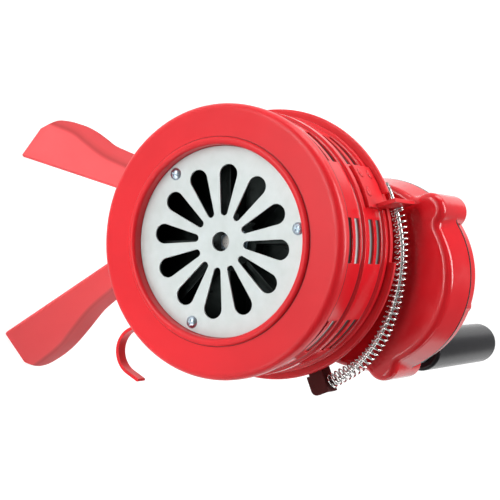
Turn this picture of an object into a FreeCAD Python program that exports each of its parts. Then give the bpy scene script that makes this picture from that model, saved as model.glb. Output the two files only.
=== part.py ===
import FreeCAD, Part
import math
import os

# Hand crank siren, in millimetres. Everything is first built about the drum:
# the drum's axis is the Y axis, the front face of the grille plate is y = 0,
# Y runs back to the crank, X to the right and Z up. The last lines move it to
# stand on z = 0 with the middle of its box over the origin.
# An angle is measured from +X towards +Z, seen from the front.

Vector = FreeCAD.Vector

# Stand
axis_height = 200.0        # drum axis above the floor

# Drum, from the inside out
port_count = 8             # groups of slots round the drum
port_arc = 19.0            # degrees that one slot spans
slot_width = 6.4
slot_pitch = 10.6          # the two slots of a pair
row_pitch = 30.7           # front pair to rear pair
first_slot = 10.7          # middle of the foremost slot
drum_rear = 64.0           # rear end of the stator
drum_step = 5.8            # the stator is smaller than the ring by this
stator_wall = 3.0
stator_flange = 2.6        # thickness of its end flanges
stator_flange_bore = 62.0  # rear flange
sleeve_gap = 0.4           # running gap between stator and shutter sleeve
sleeve_wall = 3.0
sleeve_end_gap = 0.8
bead_height = 1.6
bead_width = 4.4
shutter_travel = 22.0      # degrees that the shutter turns

# Front ring and grille
ring_radius = 84.4
ring_back = 4.6            # rear face of the ring
ring_wall = 3.2
lip_front = -7.6           # foremost point of the bead round the opening
lip_bead = 2.4             # radius of that bead
face_rear = -4.6           # face of the ring at its rounded outer edge
ring_edge = 5.0            # radius of the rounded outer edge
plate_radius = 58.5
plate_thickness = 1.2
plate_gap = 0.3
shelf_bore = 49.6          # opening behind the grille plate
petal_count = 12
petal_inner = 16.0         # where a petal starts, from the centre
petal_outer = 47.5
petal_tip_radius = 6.2
petal_root_radius = 2.4
grille_hole = 6.0
grille_screw_circle_radius = 53.4
grille_screw_angle = 97.5
grille_screw_radius = 2.0
grille_head_radius = 3.9
grille_head_height = 2.3
head_recess = 0.9          # depth of a cross recess

# Bulkhead
bulkhead_radius = 88.1
bulkhead_thickness = 4.0
bulkhead_edge = 1.4
notch_floor = 84.4         # the rim is cut down to this where the bracket swings
notch_before = 0.8         # degrees of the notch beyond the bracket's travel
notch_after = 6.5          # and behind the bracket at rest
bulkhead_screw_angles = (60.0, 160.0, 210.0, 330.0)
bulkhead_screw_circle_radius = 70.5
bulkhead_screw_radius = 2.0
bulkhead_head_radius = 3.8
bulkhead_head_height = 2.6
hub_wall = 5.0
neck_radius = 34.0
neck_wall = 4.0
neck_flange = 4.0
neck_flange_radius = 50.0
neck_screw_circle_radius = 44.0
neck_screw_radius = 2.5
neck_screw_count = 4
neck_screw_phase = 30.0

# Rotor
rim_gap = 1.2              # between the rotor's rim and the stator
rim_wall = 2.2
rim_front = 8.8
rim_rear = 59.6
rim_land = 3.4             # solid edge of the rim beside its windows
web_thickness = 3.0
vane_thickness = 2.6
hub_radius = 14.0
hub_front = 20.0
rotor_shaft_radius = 4.0
rotor_nut_height = 6.5
rotor_nut_flats = 13.0
rotor_washer_thickness = 1.6
rotor_washer_radius = 8.5
shaft_overhang = 3.0
bearing_radius = 11.0
bearing_width = 7.0
running_gap = 0.04         # between a turning shaft and its bearing
seat_gap = 0.02            # between fixed round parts

# Gearbox
gear_axis_angle = 70.0     # direction of the crank axis from the drum axis
gear_axis_offset = 58.5    # its distance
can_radius = 64.5
lobe_radius = 40.0         # end of the case round the rotor shaft
case_wall = 3.5
case_front = 86.0
case_seam = 113.0
case_rear = 129.0
case_edge = 5.0            # rounded front edge of the case
case_taper = 4.5           # the case is smaller at its front, all round, by this
cover_edge = 3.0
cover_inset = 2.2
gasket_thickness = 0.8
gasket_inset = 2.4
left_ear_reach = 61.0      # ears from the crank axis
left_ear_angle = 132.5
right_ear_reach = 58.4
right_ear_angle = 13.0
ear_radius = 11.0
ear_proud = 0.5            # the ears reach behind the cover by this
ear_edge = 2.0             # rounded rear edge of an ear
ear_blend = 5.0            # hollow rounding where an ear runs into the case
ear_bore = 2.5
ear_bore_depth = 14.0
ear_gap = 0.5
cover_boss_circle_radius = 57.0
cover_boss_spread = 102.0
cover_boss_radius = 5.5
cover_screw_radius = 2.0
cover_head_radius = 3.7
cover_head_height = 2.6
gear_module = 1.0
pressure_angle = 25.0
tooth_height = 0.8         # addendum, in modules
tooth_root = 1.1           # dedendum, in modules
backlash = 0.12            # share of the tooth thickness taken off
crank_teeth = 72
pinion_teeth = 12
layshaft_teeth = 48
low_gear_front = 95.0      # layshaft gear and rotor pinion
low_gear_width = 8.0
high_gear_front = 106.0    # crank gear and layshaft pinion
high_gear_width = 8.0
pinion_extra = 1.5         # a pinion is wider than its gear by this, each side
pinion_bore = 3.0
layshaft_radius = 4.0
bush_wall = 2.0
layshaft_bush_length = 8.0
boss_wall = 3.0
gear_boss_radius = 10.0
gear_clearance = 0.6       # hollow in the case wall round the layshaft gear
crank_gear_hole_reach = 22.0
crank_gear_hole_radius = 6.5
layshaft_gear_hole_reach = 15.0
layshaft_gear_hole_radius = 3.6

# Crank
crank_shaft_radius = 5.0
cover_boss_height = 7.0    # round boss on the cover, for the crank shaft
crank_radius = 53.0
crank_angle = 17.3
arm_clearance = 3.0        # from that boss to the arm
arm_thickness = 5.0
arm_width = 20.0
crank_nut_height = 8.0
crank_nut_flats = 17.0
grip_radius = 14.4
grip_clearance = 2.0       # from the arm to the grip
grip_rear = 267.5
grip_pin_radius = 4.5
grip_wall_end = 6.0        # solid end walls of the grip round its pin
grip_hollow = 9.0
grip_cap_length = 9.0
grip_edge = 2.5
grip_gap = 0.08

# Shutter fittings
bracket_thickness = 2.5
bracket_start = 104.5      # angle of the bracket's upright flange
bracket_arc = 19.5
bracket_front = 38.0
bracket_front_flange = 50.0
bracket_height = 97.0      # outer edge of the flange, from the drum axis
bracket_rear = 81.0
bracket_foot = 81.0        # inner edge behind the bulkhead, from the axis
bulkhead_clearance = 0.8
rivet_radius = 1.6
rivet_head_radius = 3.2
rivet_head_height = 0.6
lever_thickness = 2.2
lever_width = 8.0
lever_front = 48.0
lever_root_angle = -54.0
lever_base_arc = 17.0
lever_bend_x = 72.2        # centre of the hook's bend
lever_bend_z = -93.6
lever_bend_radius = 16.4
lever_bend_start = 199.0
lever_bend_end = 330.0
lever_tip = 9.5           # straight end of the hook
stop_pin_radius = 1.5
stop_pin_length = 3.0
stop_angle = 190.0

# Guide rod and return spring
rod_circle_radius = 96.4
rod_centre_x = 6.6
rod_centre_z = -9.2
rod_plane = 75.0
rod_radius = 1.8
rod_overhang = 15.0        # rod beyond the bracket, at rest
spring_radius = 5.0
spring_wire = 1.2
slot_play = 0.45
anchor_angle = 21.0
anchor_inner = 58.0
anchor_outer = 102.5
anchor_below = 8.2
anchor_above = 3.6
anchor_neck = 6.0          # half width over the bulkhead
anchor_thickness = 2.5
anchor_lip_inner = 84.0
anchor_screw_inner = 66.0
anchor_screw_pitch = 12.0

# Legs: one pressed blade, used twice, turned over on the right
leg_thickness = 2.0
leg_offset = -1.2          # back face of a blade from the plane of its straight edge
blade_length = 88.0        # from the foot along the straight edge to the twist
blade_root = 31.5          # width of the blade there
leg_fold = 30.0            # degrees that the outer strip is folded, in two bends
fold_spread = 8.0          # distance between the two bends
left_spread = 0.9          # width of the left blade, as a share of the full outline
right_spread = 1.0
left_foot_x = -66.0
left_foot_y = 56.3
left_shoulder_x = -41.1    # a point of the straight edge, at shoulder height
left_shoulder_y = 60.0
left_shoulder_height = 79.8
left_tab_angle = 240.0     # where the leg's root is screwed to the bulkhead
right_foot_x = 62.1
right_foot_y = 38.8
right_shoulder_x = 13.5
right_shoulder_y = 60.0
right_shoulder_height = 72.1
right_tab_angle = 274.0
foot_toe_out = 45.0        # degrees that each foot edge runs back
tab_inner = 61.0
tab_outer = 93.0
tab_width = 26.0
tab_corner = 6.0
tab_screw_spread = 5.8     # degrees each side of the tab's middle
tab_screw_circle_radius = 70.5
leg_screw_radius = 2.5
leg_head_radius = 4.5
leg_head_height = 3.0

# Worked out from the sizes above
stator_radius = ring_radius - drum_step
sleeve_inner = stator_radius + sleeve_gap
sleeve_outer = sleeve_inner + sleeve_wall
stator_inner = stator_radius - stator_wall
rim_radius = stator_inner - rim_gap
sleeve_front = ring_back + sleeve_end_gap
sleeve_rear = drum_rear - sleeve_end_gap
bulkhead_rear = drum_rear + bulkhead_thickness
slot_middles = (first_slot, first_slot + slot_pitch,
                first_slot + row_pitch, first_slot + row_pitch + slot_pitch)
row_middle = (slot_middles[1] + slot_middles[2]) / 2
ear_rear = case_rear + ear_proud
crank_boss_rear = case_rear + cover_boss_height
arm_front = crank_boss_rear + arm_clearance
arm_rear = arm_front + arm_thickness
grip_front = arm_rear + grip_clearance
crank_x = gear_axis_offset * math.cos(math.radians(gear_axis_angle))
crank_z = gear_axis_offset * math.sin(math.radians(gear_axis_angle))
high_centres = gear_module * (crank_teeth + pinion_teeth) / 2
low_centres = gear_module * (layshaft_teeth + pinion_teeth) / 2


def polar(radius, angle, x=0.0, z=0.0):
    turn = math.radians(angle)
    return x + radius * math.cos(turn), z + radius * math.sin(turn)


def point(radius, angle, y, x=0.0, z=0.0):
    px, pz = polar(radius, angle, x, z)
    return Vector(px, y, pz)


def direction_between(x1, z1, x2, z2):
    return math.degrees(math.atan2(z2 - z1, x2 - x1))


def layshaft_place():
    # where circles of the two centre distances cross, on the right-hand side
    along = (high_centres ** 2 - low_centres ** 2 + gear_axis_offset ** 2)
    along = along / (2 * gear_axis_offset)
    aside = math.sqrt(high_centres ** 2 - along ** 2)
    x = crank_x - along * crank_x / gear_axis_offset
    z = crank_z - along * crank_z / gear_axis_offset
    x = x + aside * crank_z / gear_axis_offset
    z = z - aside * crank_x / gear_axis_offset
    return x, z


layshaft_x, layshaft_z = layshaft_place()


def disc(radius, y1, y2, x=0.0, z=0.0):
    return Part.makeCylinder(radius, y2 - y1, Vector(x, y1, z), Vector(0, 1, 0))


def tube(outer, inner, y1, y2, x=0.0, z=0.0):
    return disc(outer, y1, y2, x, z).cut(disc(inner, y1 - 1, y2 + 1, x, z))


def turned(angle, shape, x=0.0, z=0.0):
    # a positive angle turns +X towards +Z
    copy = shape.copy()
    copy.rotate(Vector(x, 0, z), Vector(0, -1, 0), angle)
    return copy


def revolved(corners):
    # corners are (radius, y) pairs, or (radius, y, "through") for an arc's middle
    edges = []
    loop = corners + [corners[0]]
    here = loop[0]
    middle = None
    for corner in loop[1:]:
        if len(corner) == 3:
            middle = corner
            continue
        start = Vector(here[0], here[1], 0)
        end = Vector(corner[0], corner[1], 0)
        if middle:
            through = Vector(middle[0], middle[1], 0)
            edges.append(Part.Arc(start, through, end).toShape())
            middle = None
        else:
            edges.append(Part.LineSegment(start, end).toShape())
        here = corner
    face = Part.Face(Part.Wire(edges))
    return face.revolve(Vector(0, 0, 0), Vector(0, 1, 0), 360)


def prism(corners, y1, y2):
    # corners are (x, z) pairs
    loop = [Vector(x, y1, z) for x, z in corners]
    face = Part.Face(Part.makePolygon(loop + [loop[0]]))
    return face.extrude(Vector(0, y2 - y1, 0))


def wedge(inner, outer, start, end, y1, y2):
    # part of a ring between two angles
    full = end - start
    edges = [Part.LineSegment(point(inner, start, y1), point(outer, start, y1)).toShape(),
             Part.Arc(point(outer, start, y1), point(outer, start + full / 2, y1),
                      point(outer, end, y1)).toShape(),
             Part.LineSegment(point(outer, end, y1), point(inner, end, y1)).toShape(),
             Part.Arc(point(inner, end, y1), point(inner, start + full / 2, y1),
                      point(inner, start, y1)).toShape()]
    return Part.Face(Part.Wire(edges)).extrude(Vector(0, y2 - y1, 0))


def fuse(shapes):
    whole = shapes[0].multiFuse(shapes[1:]) if len(shapes) > 1 else shapes[0]
    return whole.removeSplitter()


def hex_prism(flats, y1, y2, x=0.0, z=0.0, phase=0.0):
    corner = flats / math.sqrt(3)
    return prism([polar(corner, phase + 60 * k, x, z) for k in range(6)], y1, y2)


def cross_recess(y1, y2, reach, width, x, z, phase):
    bar = prism([(-reach, -width), (reach, -width), (reach, width), (-reach, width)], y1, y2)
    cross = bar.fuse(turned(90, bar))
    cross = turned(phase, cross)
    cross.translate(Vector(x, 0, z))
    return cross


def fastener(shank_radius, shank_length, head_radius, head_height):
    # along Y: a domed head stands on y = 0 and its shank runs towards -Y
    dome = (head_radius ** 2 + head_height ** 2) / (2 * head_height)
    half = math.asin(head_radius / dome) / 2
    crown = (dome * math.sin(half), head_height - dome * (1 - math.cos(half)), "through")
    return revolved([(0, -shank_length), (shank_radius, -shank_length), (shank_radius, 0),
                     (head_radius, 0), crown, (0, head_height)])


def machine_screw(shank_radius, shank_end, head_radius, head_height, y, side, x, z):
    # the head lies on the plane y, and the shank runs from there to shank_end
    screw = fastener(shank_radius, abs(shank_end - y), head_radius, head_height)
    screw = screw.cut(cross_recess(head_height - head_recess, head_height + 1,
                                   head_radius * 0.55, head_radius * 0.13, 0, 0, 20))
    if side < 0:
        screw.rotate(Vector(0, 0, 0), Vector(1, 0, 0), 180)
    screw.translate(Vector(x, y, z))
    return screw


def port_openings(inner, outer):
    cuts = []
    for middle in slot_middles:
        for group in range(port_count):
            angle = group * 360.0 / port_count
            cuts.append(wedge(inner, outer, angle - port_arc / 2, angle + port_arc / 2,
                              middle - slot_width / 2, middle + slot_width / 2))
    return cuts


# Fixed body

def front_ring():
    bore = plate_radius + plate_gap
    bead_outer = bore + 2 * lip_bead
    edge_y = face_rear + ring_edge
    slope = ring_edge * (1 - math.sqrt(0.5))
    outline = [(shelf_bore, ring_back), (shelf_bore, plate_thickness), (bore, plate_thickness),
               (bore, lip_front + lip_bead), (bore + lip_bead, lip_front, "through"),
               (bead_outer, lip_front + lip_bead), (ring_radius - ring_edge, face_rear),
               (ring_radius - slope, face_rear + slope, "through"), (ring_radius, edge_y),
               (ring_radius, ring_back), (ring_radius - ring_wall, ring_back),
               (ring_radius - ring_wall, edge_y), (bead_outer + ring_wall, ring_wall - 3),
               (bead_outer + ring_wall, ring_back)]
    ring = revolved(outline)
    holes = [disc(grille_screw_radius + seat_gap, 0, ring_back + 1, *place)
             for place in grille_screw_places()]
    return ring.cut(holes)


def grille_screw_places():
    return [polar(grille_screw_circle_radius, grille_screw_angle + 120 * k) for k in range(3)]


def petal(angle):
    # a teardrop hole: two end circles and their common tangents
    length = (petal_outer - petal_tip_radius) - (petal_inner + petal_root_radius)
    lean = math.degrees(math.asin((petal_tip_radius - petal_root_radius) / length))
    start = petal_inner + petal_root_radius
    end = petal_outer - petal_tip_radius
    y = -1.0
    side = 90 + lean
    root_high = point(petal_root_radius, side, y, start, 0)
    root_low = point(petal_root_radius, -side, y, start, 0)
    tip_high = point(petal_tip_radius, side, y, end, 0)
    tip_low = point(petal_tip_radius, -side, y, end, 0)
    edges = [Part.Arc(root_high, Vector(petal_inner, y, 0), root_low).toShape(),
             Part.LineSegment(root_low, tip_low).toShape(),
             Part.Arc(tip_low, Vector(petal_outer, y, 0), tip_high).toShape(),
             Part.LineSegment(tip_high, root_high).toShape()]
    hole = Part.Face(Part.Wire(edges)).extrude(Vector(0, plate_thickness + 2, 0))
    return turned(angle, hole)


def grille_plate():
    plate = disc(plate_radius, 0, plate_thickness)
    step = 360.0 / petal_count
    cuts = [petal(grille_screw_angle + step * (k + 0.5)) for k in range(petal_count)]
    cuts.append(disc(grille_hole, -1, plate_thickness + 1))
    cuts += [disc(grille_screw_radius + 0.1, -1, 3, *place) for place in grille_screw_places()]
    return plate.cut(cuts)


def grille_screws():
    end = ring_back + stator_flange + 0.6
    screws = [machine_screw(grille_screw_radius, end, grille_head_radius, grille_head_height,
                            0, -1, *place) for place in grille_screw_places()]
    return Part.makeCompound(screws)


def stator_drum():
    barrel = tube(stator_radius, stator_inner, ring_back, drum_rear)
    front = tube(stator_radius, shelf_bore, ring_back, ring_back + stator_flange)
    rear = tube(stator_radius, stator_flange_bore, drum_rear - stator_flange, drum_rear)
    body = fuse([barrel, front, rear])
    cuts = port_openings(stator_inner - 1, stator_radius + 1)
    cuts += [disc(grille_screw_radius + seat_gap, 0, 12, *place) for place in grille_screw_places()]
    cuts += [disc(bulkhead_screw_radius + seat_gap, 50, 70, *place)
             for place in bulkhead_screw_places()]
    cuts += [disc(leg_screw_radius + seat_gap, 50, 70, *place)
             for place in tab_screw_places(left_tab_angle) + tab_screw_places(right_tab_angle)]
    return body.cut(cuts)


def bulkhead_screw_places():
    return [polar(bulkhead_screw_circle_radius, angle) for angle in bulkhead_screw_angles]


def neck_screw_places():
    step = 360.0 / neck_screw_count
    return [polar(neck_screw_circle_radius, neck_screw_phase + step * k) for k in range(neck_screw_count)]


def neck_screw_head():
    return 2 * neck_screw_radius


def bulkhead():
    e = bulkhead_edge
    soft = e * (1 - math.sqrt(0.5))
    bearing_front = drum_rear + 2
    bearing_rear = bearing_front + bearing_width
    hub = bearing_radius + hub_wall
    outline = [(rotor_shaft_radius + 3, drum_rear), (bulkhead_radius - e, drum_rear),
               (bulkhead_radius - soft, drum_rear + soft, "through"),
               (bulkhead_radius, drum_rear + e), (bulkhead_radius, bulkhead_rear - e),
               (bulkhead_radius - soft, bulkhead_rear - soft, "through"),
               (bulkhead_radius - e, bulkhead_rear), (hub, bulkhead_rear), (hub, bearing_rear),
               (bearing_radius + seat_gap, bearing_rear),
               (bearing_radius + seat_gap, bearing_front), (rotor_shaft_radius + 3, bearing_front)]
    plate = revolved(outline)
    cuts = [disc(bulkhead_screw_radius + 0.2, 60, 75, *place) for place in bulkhead_screw_places()]
    for x, z in neck_screw_places():
        cuts.append(neck_screw(x, z, seat_gap))
    cuts.append(disc(stop_pin_radius + seat_gap, drum_rear - 1, drum_rear + stop_pin_length,
                     *stop_place()))
    cuts += [disc(bulkhead_screw_radius + seat_gap, drum_rear, 80, *place)
             for place in anchor_screw_places()]
    cuts += [disc(leg_screw_radius + seat_gap, drum_rear - 1, 80, *place)
             for place in tab_screw_places(left_tab_angle) + tab_screw_places(right_tab_angle)]
    cuts.append(wedge(notch_floor, bulkhead_radius + 1, bracket_start - shutter_travel - notch_before,
                      bracket_start + notch_after, drum_rear - 1, bulkhead_rear + 1))
    return plate.cut(cuts)


def bulkhead_screws():
    screws = [machine_screw(bulkhead_screw_radius, drum_rear - stator_flange - 1,
                            bulkhead_head_radius, bulkhead_head_height, bulkhead_rear, 1, *place)
              for place in bulkhead_screw_places()]
    return Part.makeCompound(screws)


def neck_screw(x, z, gap=0.0):
    # countersunk from the front of the bulkhead into the neck's flange
    head = neck_screw_head()
    depth = head - neck_screw_radius
    end = bulkhead_rear + neck_flange
    cone = Part.makeCone(head + gap, neck_screw_radius + gap, depth, Vector(x, drum_rear, z),
                         Vector(0, 1, 0))
    return cone.fuse(disc(neck_screw_radius + gap, drum_rear, end + gap, x, z)).removeSplitter()


def neck_screws():
    screws = []
    for x, z in neck_screw_places():
        recess = cross_recess(drum_rear - 1, drum_rear + head_recess, neck_screw_radius * 1.1,
                              neck_screw_radius * 0.25, x, z, 20)
        screws.append(neck_screw(x, z).cut(recess))
    return Part.makeCompound(screws)


def gear_tip(teeth):
    return gear_module * (teeth / 2 + tooth_height)


def case_outline(offset, y):
    # closed wire round the crank axis and the rotor shaft, moved out by offset
    big = can_radius + offset
    small = lobe_radius + offset
    lean = math.degrees(math.asin((big - small) / gear_axis_offset))
    side = 90 - lean
    middle = gear_axis_angle
    big_left = point(big, middle + 90 + lean, y, crank_x, crank_z)
    big_right = point(big, middle - 90 - lean, y, crank_x, crank_z)
    small_left = point(small, middle + 90 + lean, y)
    small_right = point(small, middle - 90 - lean, y)
    assert side > 0
    return Part.Wire([
        Part.Arc(big_right, point(big, middle, y, crank_x, crank_z), big_left).toShape(),
        Part.LineSegment(big_left, small_left).toShape(),
        Part.Arc(small_left, point(small, middle + 180, y), small_right).toShape(),
        Part.LineSegment(small_right, big_right).toShape()])


def case_block(offset, y1, y2):
    return Part.Face(case_outline(offset, y1)).extrude(Vector(0, y2 - y1, 0))


def taper_at(y):
    return -case_taper * (case_seam - y) / (case_seam - case_front)


def tapered_block(offset, y1, y2):
    return Part.makeLoft([case_outline(offset + taper_at(y), y) for y in (y1, y2)], True, True)


def edges_at(shape, y):
    found = []
    for edge in shape.Edges:
        box = edge.BoundBox
        if abs(box.YMin - y) < 1e-4 and abs(box.YMax - y) < 1e-4:
            found.append(edge)
    return found


def ear_places():
    return [polar(left_ear_reach, left_ear_angle, crank_x, crank_z),
            polar(right_ear_reach, right_ear_angle, crank_x, crank_z)]


def cover_screw_places():
    rim = [polar(cover_boss_circle_radius, gear_axis_angle + side * cover_boss_spread, crank_x, crank_z)
           for side in (1, 0, -1)]
    lobe = polar(lobe_radius - case_wall - cover_boss_radius + 1, gear_axis_angle + 180)
    return rim + [lobe]


def ear_root_edges(shape):
    # the edges that run from front to back where an ear meets the case
    found = []
    for edge in shape.Edges:
        middle = edge.valueAt((edge.FirstParameter + edge.LastParameter) / 2)
        away = min(abs(math.hypot(middle.x - x, middle.z - z) - ear_radius) for x, z in ear_places())
        if edge.BoundBox.YLength > 1 and away < 1e-3:
            found.append(edge)
    return found


def case_with_ears():
    shape = tapered_block(0, case_front, case_seam)
    columns = [disc(ear_radius, case_front, case_seam, x, z) for x, z in ear_places()]
    shape = shape.multiFuse(columns).removeSplitter()
    shape = shape.makeFillet(ear_blend, ear_root_edges(shape))
    return shape.makeFillet(case_edge, edges_at(shape, case_front))


def gearbox_housing():
    outside = case_with_ears()
    ears = []
    for x, z in ear_places():
        column = disc(ear_radius, case_seam - ear_radius, ear_rear, x, z)
        ears.append(column.makeFillet(ear_edge, edges_at(column, ear_rear)))
    neck = disc(neck_radius, bulkhead_rear, case_front + case_wall)
    flange = disc(neck_flange_radius, bulkhead_rear, bulkhead_rear + neck_flange)
    body = outside.multiFuse(ears + [neck, flange])
    inside = tapered_block(-case_wall, case_front + case_wall, case_seam + 1)
    inner_edge = case_edge - case_wall
    inside = inside.makeFillet(inner_edge, edges_at(inside, case_front + case_wall))
    neck_bore = disc(neck_radius - neck_wall, bulkhead_rear - 1, case_front)
    body = body.cut([inside, neck_bore])
    bearing_front = case_front - 3
    bosses = [disc(bearing_radius + hub_wall, bearing_front, case_front + bearing_width + 1),
              disc(layshaft_radius + bush_wall + boss_wall, case_front + 1,
                   case_front + layshaft_bush_length, layshaft_x, layshaft_z),
              disc(crank_shaft_radius + bush_wall + boss_wall, case_front + 1,
                   case_front + layshaft_bush_length, crank_x, crank_z)]
    within = tapered_block(-case_wall / 2, case_front + case_wall / 2, case_seam)
    for x, z in cover_screw_places():
        bosses.append(disc(cover_boss_radius, case_front, case_seam, x, z).common(within))
    body = body.multiFuse(bosses)
    cuts = [disc(bearing_radius + seat_gap, bearing_front - 1, case_front + bearing_width - 2),
            disc(rotor_shaft_radius + 3, bearing_front - 1, case_seam),
            disc(layshaft_radius + bush_wall + seat_gap, case_front + 2,
                 case_front + layshaft_bush_length + 1, layshaft_x, layshaft_z),
            disc(crank_shaft_radius + bush_wall + seat_gap, case_front + 2,
                 case_front + layshaft_bush_length + 1, crank_x, crank_z)]
    cuts.append(disc(gear_tip(layshaft_teeth) + gear_clearance, low_gear_front - 1.5,
                     low_gear_front + low_gear_width + 1.5, layshaft_x, layshaft_z))
    cuts += [disc(ear_bore, ear_rear - ear_bore_depth, ear_rear + 1, *place)
             for place in ear_places()]
    cuts += [disc(neck_screw_radius + seat_gap, bulkhead_rear - 1, bulkhead_rear + neck_flange + 1,
                  *place) for place in neck_screw_places()]
    cuts += [disc(cover_screw_radius + seat_gap, case_seam - 14, case_seam + 1, *place)
             for place in cover_screw_places()]
    return body.cut(cuts)


def gear_room():
    # the space inside the case that the cover's pieces must also leave open
    return case_block(-case_wall, case_seam - 1, case_rear - case_wall)


def ear_clearance():
    return [disc(ear_radius + ear_gap, case_seam - 1, ear_rear + 2, x, z) for x, z in ear_places()]


def cover_gasket():
    outer = case_block(-gasket_inset, case_seam, case_seam + gasket_thickness)
    pad = [disc(cover_boss_radius, case_seam, case_seam + gasket_thickness, x, z)
           for x, z in cover_screw_places()]
    sheet = fuse([outer.cut(gear_room())] + pad).common(outer)
    holes = [disc(cover_screw_radius + 0.1, case_seam - 1, case_seam + 2, x, z)
             for x, z in cover_screw_places()]
    return sheet.cut(holes + ear_clearance())


def gearbox_cover():
    front = case_seam + gasket_thickness
    outside = case_block(-cover_inset, front, case_rear)
    outside = outside.makeFillet(cover_edge, edges_at(outside, case_rear))
    bosses = [disc(cover_boss_radius, front, case_rear - 1, x, z) for x, z in cover_screw_places()]
    bosses.append(disc(layshaft_radius + bush_wall + boss_wall,
                       case_rear - case_wall - layshaft_bush_length, case_rear - 1,
                       layshaft_x, layshaft_z))
    bosses.append(disc(crank_shaft_radius + bush_wall + boss_wall, case_rear - case_wall - 5,
                       crank_boss_rear, crank_x, crank_z))
    body = outside.cut(gear_room()).multiFuse(bosses)
    cuts = [disc(cover_screw_radius + 0.2, front - 1, case_rear + 1, x, z)
            for x, z in cover_screw_places()]
    cuts.append(disc(layshaft_radius + bush_wall + seat_gap,
                     case_rear - case_wall - layshaft_bush_length - 1, case_rear - 2,
                     layshaft_x, layshaft_z))
    cuts.append(disc(crank_shaft_radius + bush_wall + seat_gap, case_seam - 1,
                     crank_boss_rear + 1, crank_x, crank_z))
    return body.cut(cuts + ear_clearance()).removeSplitter()


def cover_screws():
    screws = [machine_screw(cover_screw_radius, case_seam - 12, cover_head_radius,
                            cover_head_height, case_rear, 1, x, z)
              for x, z in cover_screw_places()]
    return Part.makeCompound(screws)


def rotor_bearings():
    bore = rotor_shaft_radius + running_gap
    first = drum_rear + 2
    second = case_front - 3 + 1
    return Part.makeCompound([tube(bearing_radius, bore, first, first + bearing_width),
                              tube(bearing_radius, bore, second, second + bearing_width)])


def layshaft_bushes():
    outer = layshaft_radius + bush_wall
    bore = layshaft_radius + running_gap
    front = case_front + 2
    rear = case_rear - 2
    length = layshaft_bush_length - 2
    return Part.makeCompound([
        tube(outer, bore, front, front + length, layshaft_x, layshaft_z),
        tube(outer, bore, rear - length, rear, layshaft_x, layshaft_z)])


def crank_bushes():
    outer = crank_shaft_radius + bush_wall
    bore = crank_shaft_radius + running_gap
    front = case_front + 2
    length = layshaft_bush_length - 2
    return Part.makeCompound([
        tube(outer, bore, front, front + length, crank_x, crank_z),
        tube(outer, bore, case_rear - case_wall - 5, crank_boss_rear, crank_x, crank_z)])


def stop_place():
    return polar(sleeve_inner + sleeve_wall / 2, stop_angle)


def stop_pin():
    x, z = stop_place()
    return disc(stop_pin_radius, sleeve_rear - 2, drum_rear + stop_pin_length, x, z)


# Spring anchor, guide rod and spring

def radial_frame(angle):
    turn = math.radians(angle)
    return Vector(math.cos(turn), 0, math.sin(turn)), Vector(-math.sin(turn), 0, math.cos(turn))


def radial_block(angle, r1, r2, t1, t2, y1, y2):
    out, along = radial_frame(angle)
    corners = [out * r + along * t for r, t in ((r1, t1), (r2, t1), (r2, t2), (r1, t2))]
    return prism([(c.x, c.z) for c in corners], y1, y2)


def anchor_screw_places():
    return [polar(anchor_screw_inner + k * anchor_screw_pitch, anchor_angle) for k in range(2)]


def rod_solid(radius, start, end):
    # part of the rod's circle, between two angles about the rod's own centre
    centre = Vector(rod_centre_x, rod_plane, rod_centre_z)
    out, along = radial_frame(start)
    section = Part.Face(Part.Wire(Part.makeCircle(radius, centre + out * rod_circle_radius, along)))
    return section.revolve(centre, Vector(0, -1, 0), end - start)


def angle_on_rod(angle, shift=0.0):
    # where the ray at this angle about the drum, moved along by shift, meets the rod
    out, along = radial_frame(angle)
    start = along * shift - Vector(rod_centre_x, 0, rod_centre_z)
    b = start.dot(out)
    reach = -b + math.sqrt(b * b - start.dot(start) + rod_circle_radius ** 2)
    found = start + out * reach
    return math.degrees(math.atan2(found.z, found.x))


def rod_distance(angle):
    x, z = polar(rod_circle_radius, angle_on_rod(angle), rod_centre_x, rod_centre_z)
    return math.hypot(x, z)


def spring_anchor():
    lip_start = anchor_above - anchor_thickness
    base = radial_block(anchor_angle, anchor_inner, anchor_outer, -anchor_below, anchor_above,
                        bulkhead_rear, bulkhead_rear + anchor_thickness)
    lip = radial_block(anchor_angle, anchor_lip_inner, anchor_outer, lip_start, anchor_above,
                       bulkhead_rear, bracket_rear)
    waist = radial_block(anchor_angle, anchor_inner - 1, bulkhead_radius + 1, -anchor_below - 1,
                         -anchor_neck, bulkhead_rear - 1, bulkhead_rear + 5)
    body = base.fuse(lip).cut(waist)
    along = Vector(0, 1, 0)
    corner = radial_block(anchor_angle, anchor_outer - 4, anchor_outer + 1, -anchor_below - 1,
                          -anchor_below + 4, bulkhead_rear - 1, bulkhead_rear + 5)
    out, side = radial_frame(anchor_angle)
    round_at = out * (anchor_outer - 4) + side * (4 - anchor_below)
    quarter = Part.makeCylinder(4, 8, Vector(round_at.x, bulkhead_rear - 2, round_at.z), along)
    body = body.cut(corner.cut(quarter))
    hole = rod_solid(rod_radius + seat_gap, anchor_angle - 6, anchor_angle + 14)
    holes = [disc(bulkhead_screw_radius + 0.2, bulkhead_rear - 1, 80, *place)
             for place in anchor_screw_places()]
    return body.cut([hole] + holes).removeSplitter()


def anchor_screws():
    face = bulkhead_rear + anchor_thickness
    screws = [machine_screw(bulkhead_screw_radius, drum_rear + 0.5, bulkhead_head_radius,
                            bulkhead_head_height, face, 1, *place)
              for place in anchor_screw_places()]
    return Part.makeCompound(screws)


def guide_rod():
    start = angle_on_rod(anchor_angle, anchor_above - anchor_thickness)
    overhang = math.degrees(rod_overhang / rod_circle_radius)
    end = angle_on_rod(bracket_start, bracket_thickness) + overhang
    return rod_solid(rod_radius, start, end)


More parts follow.
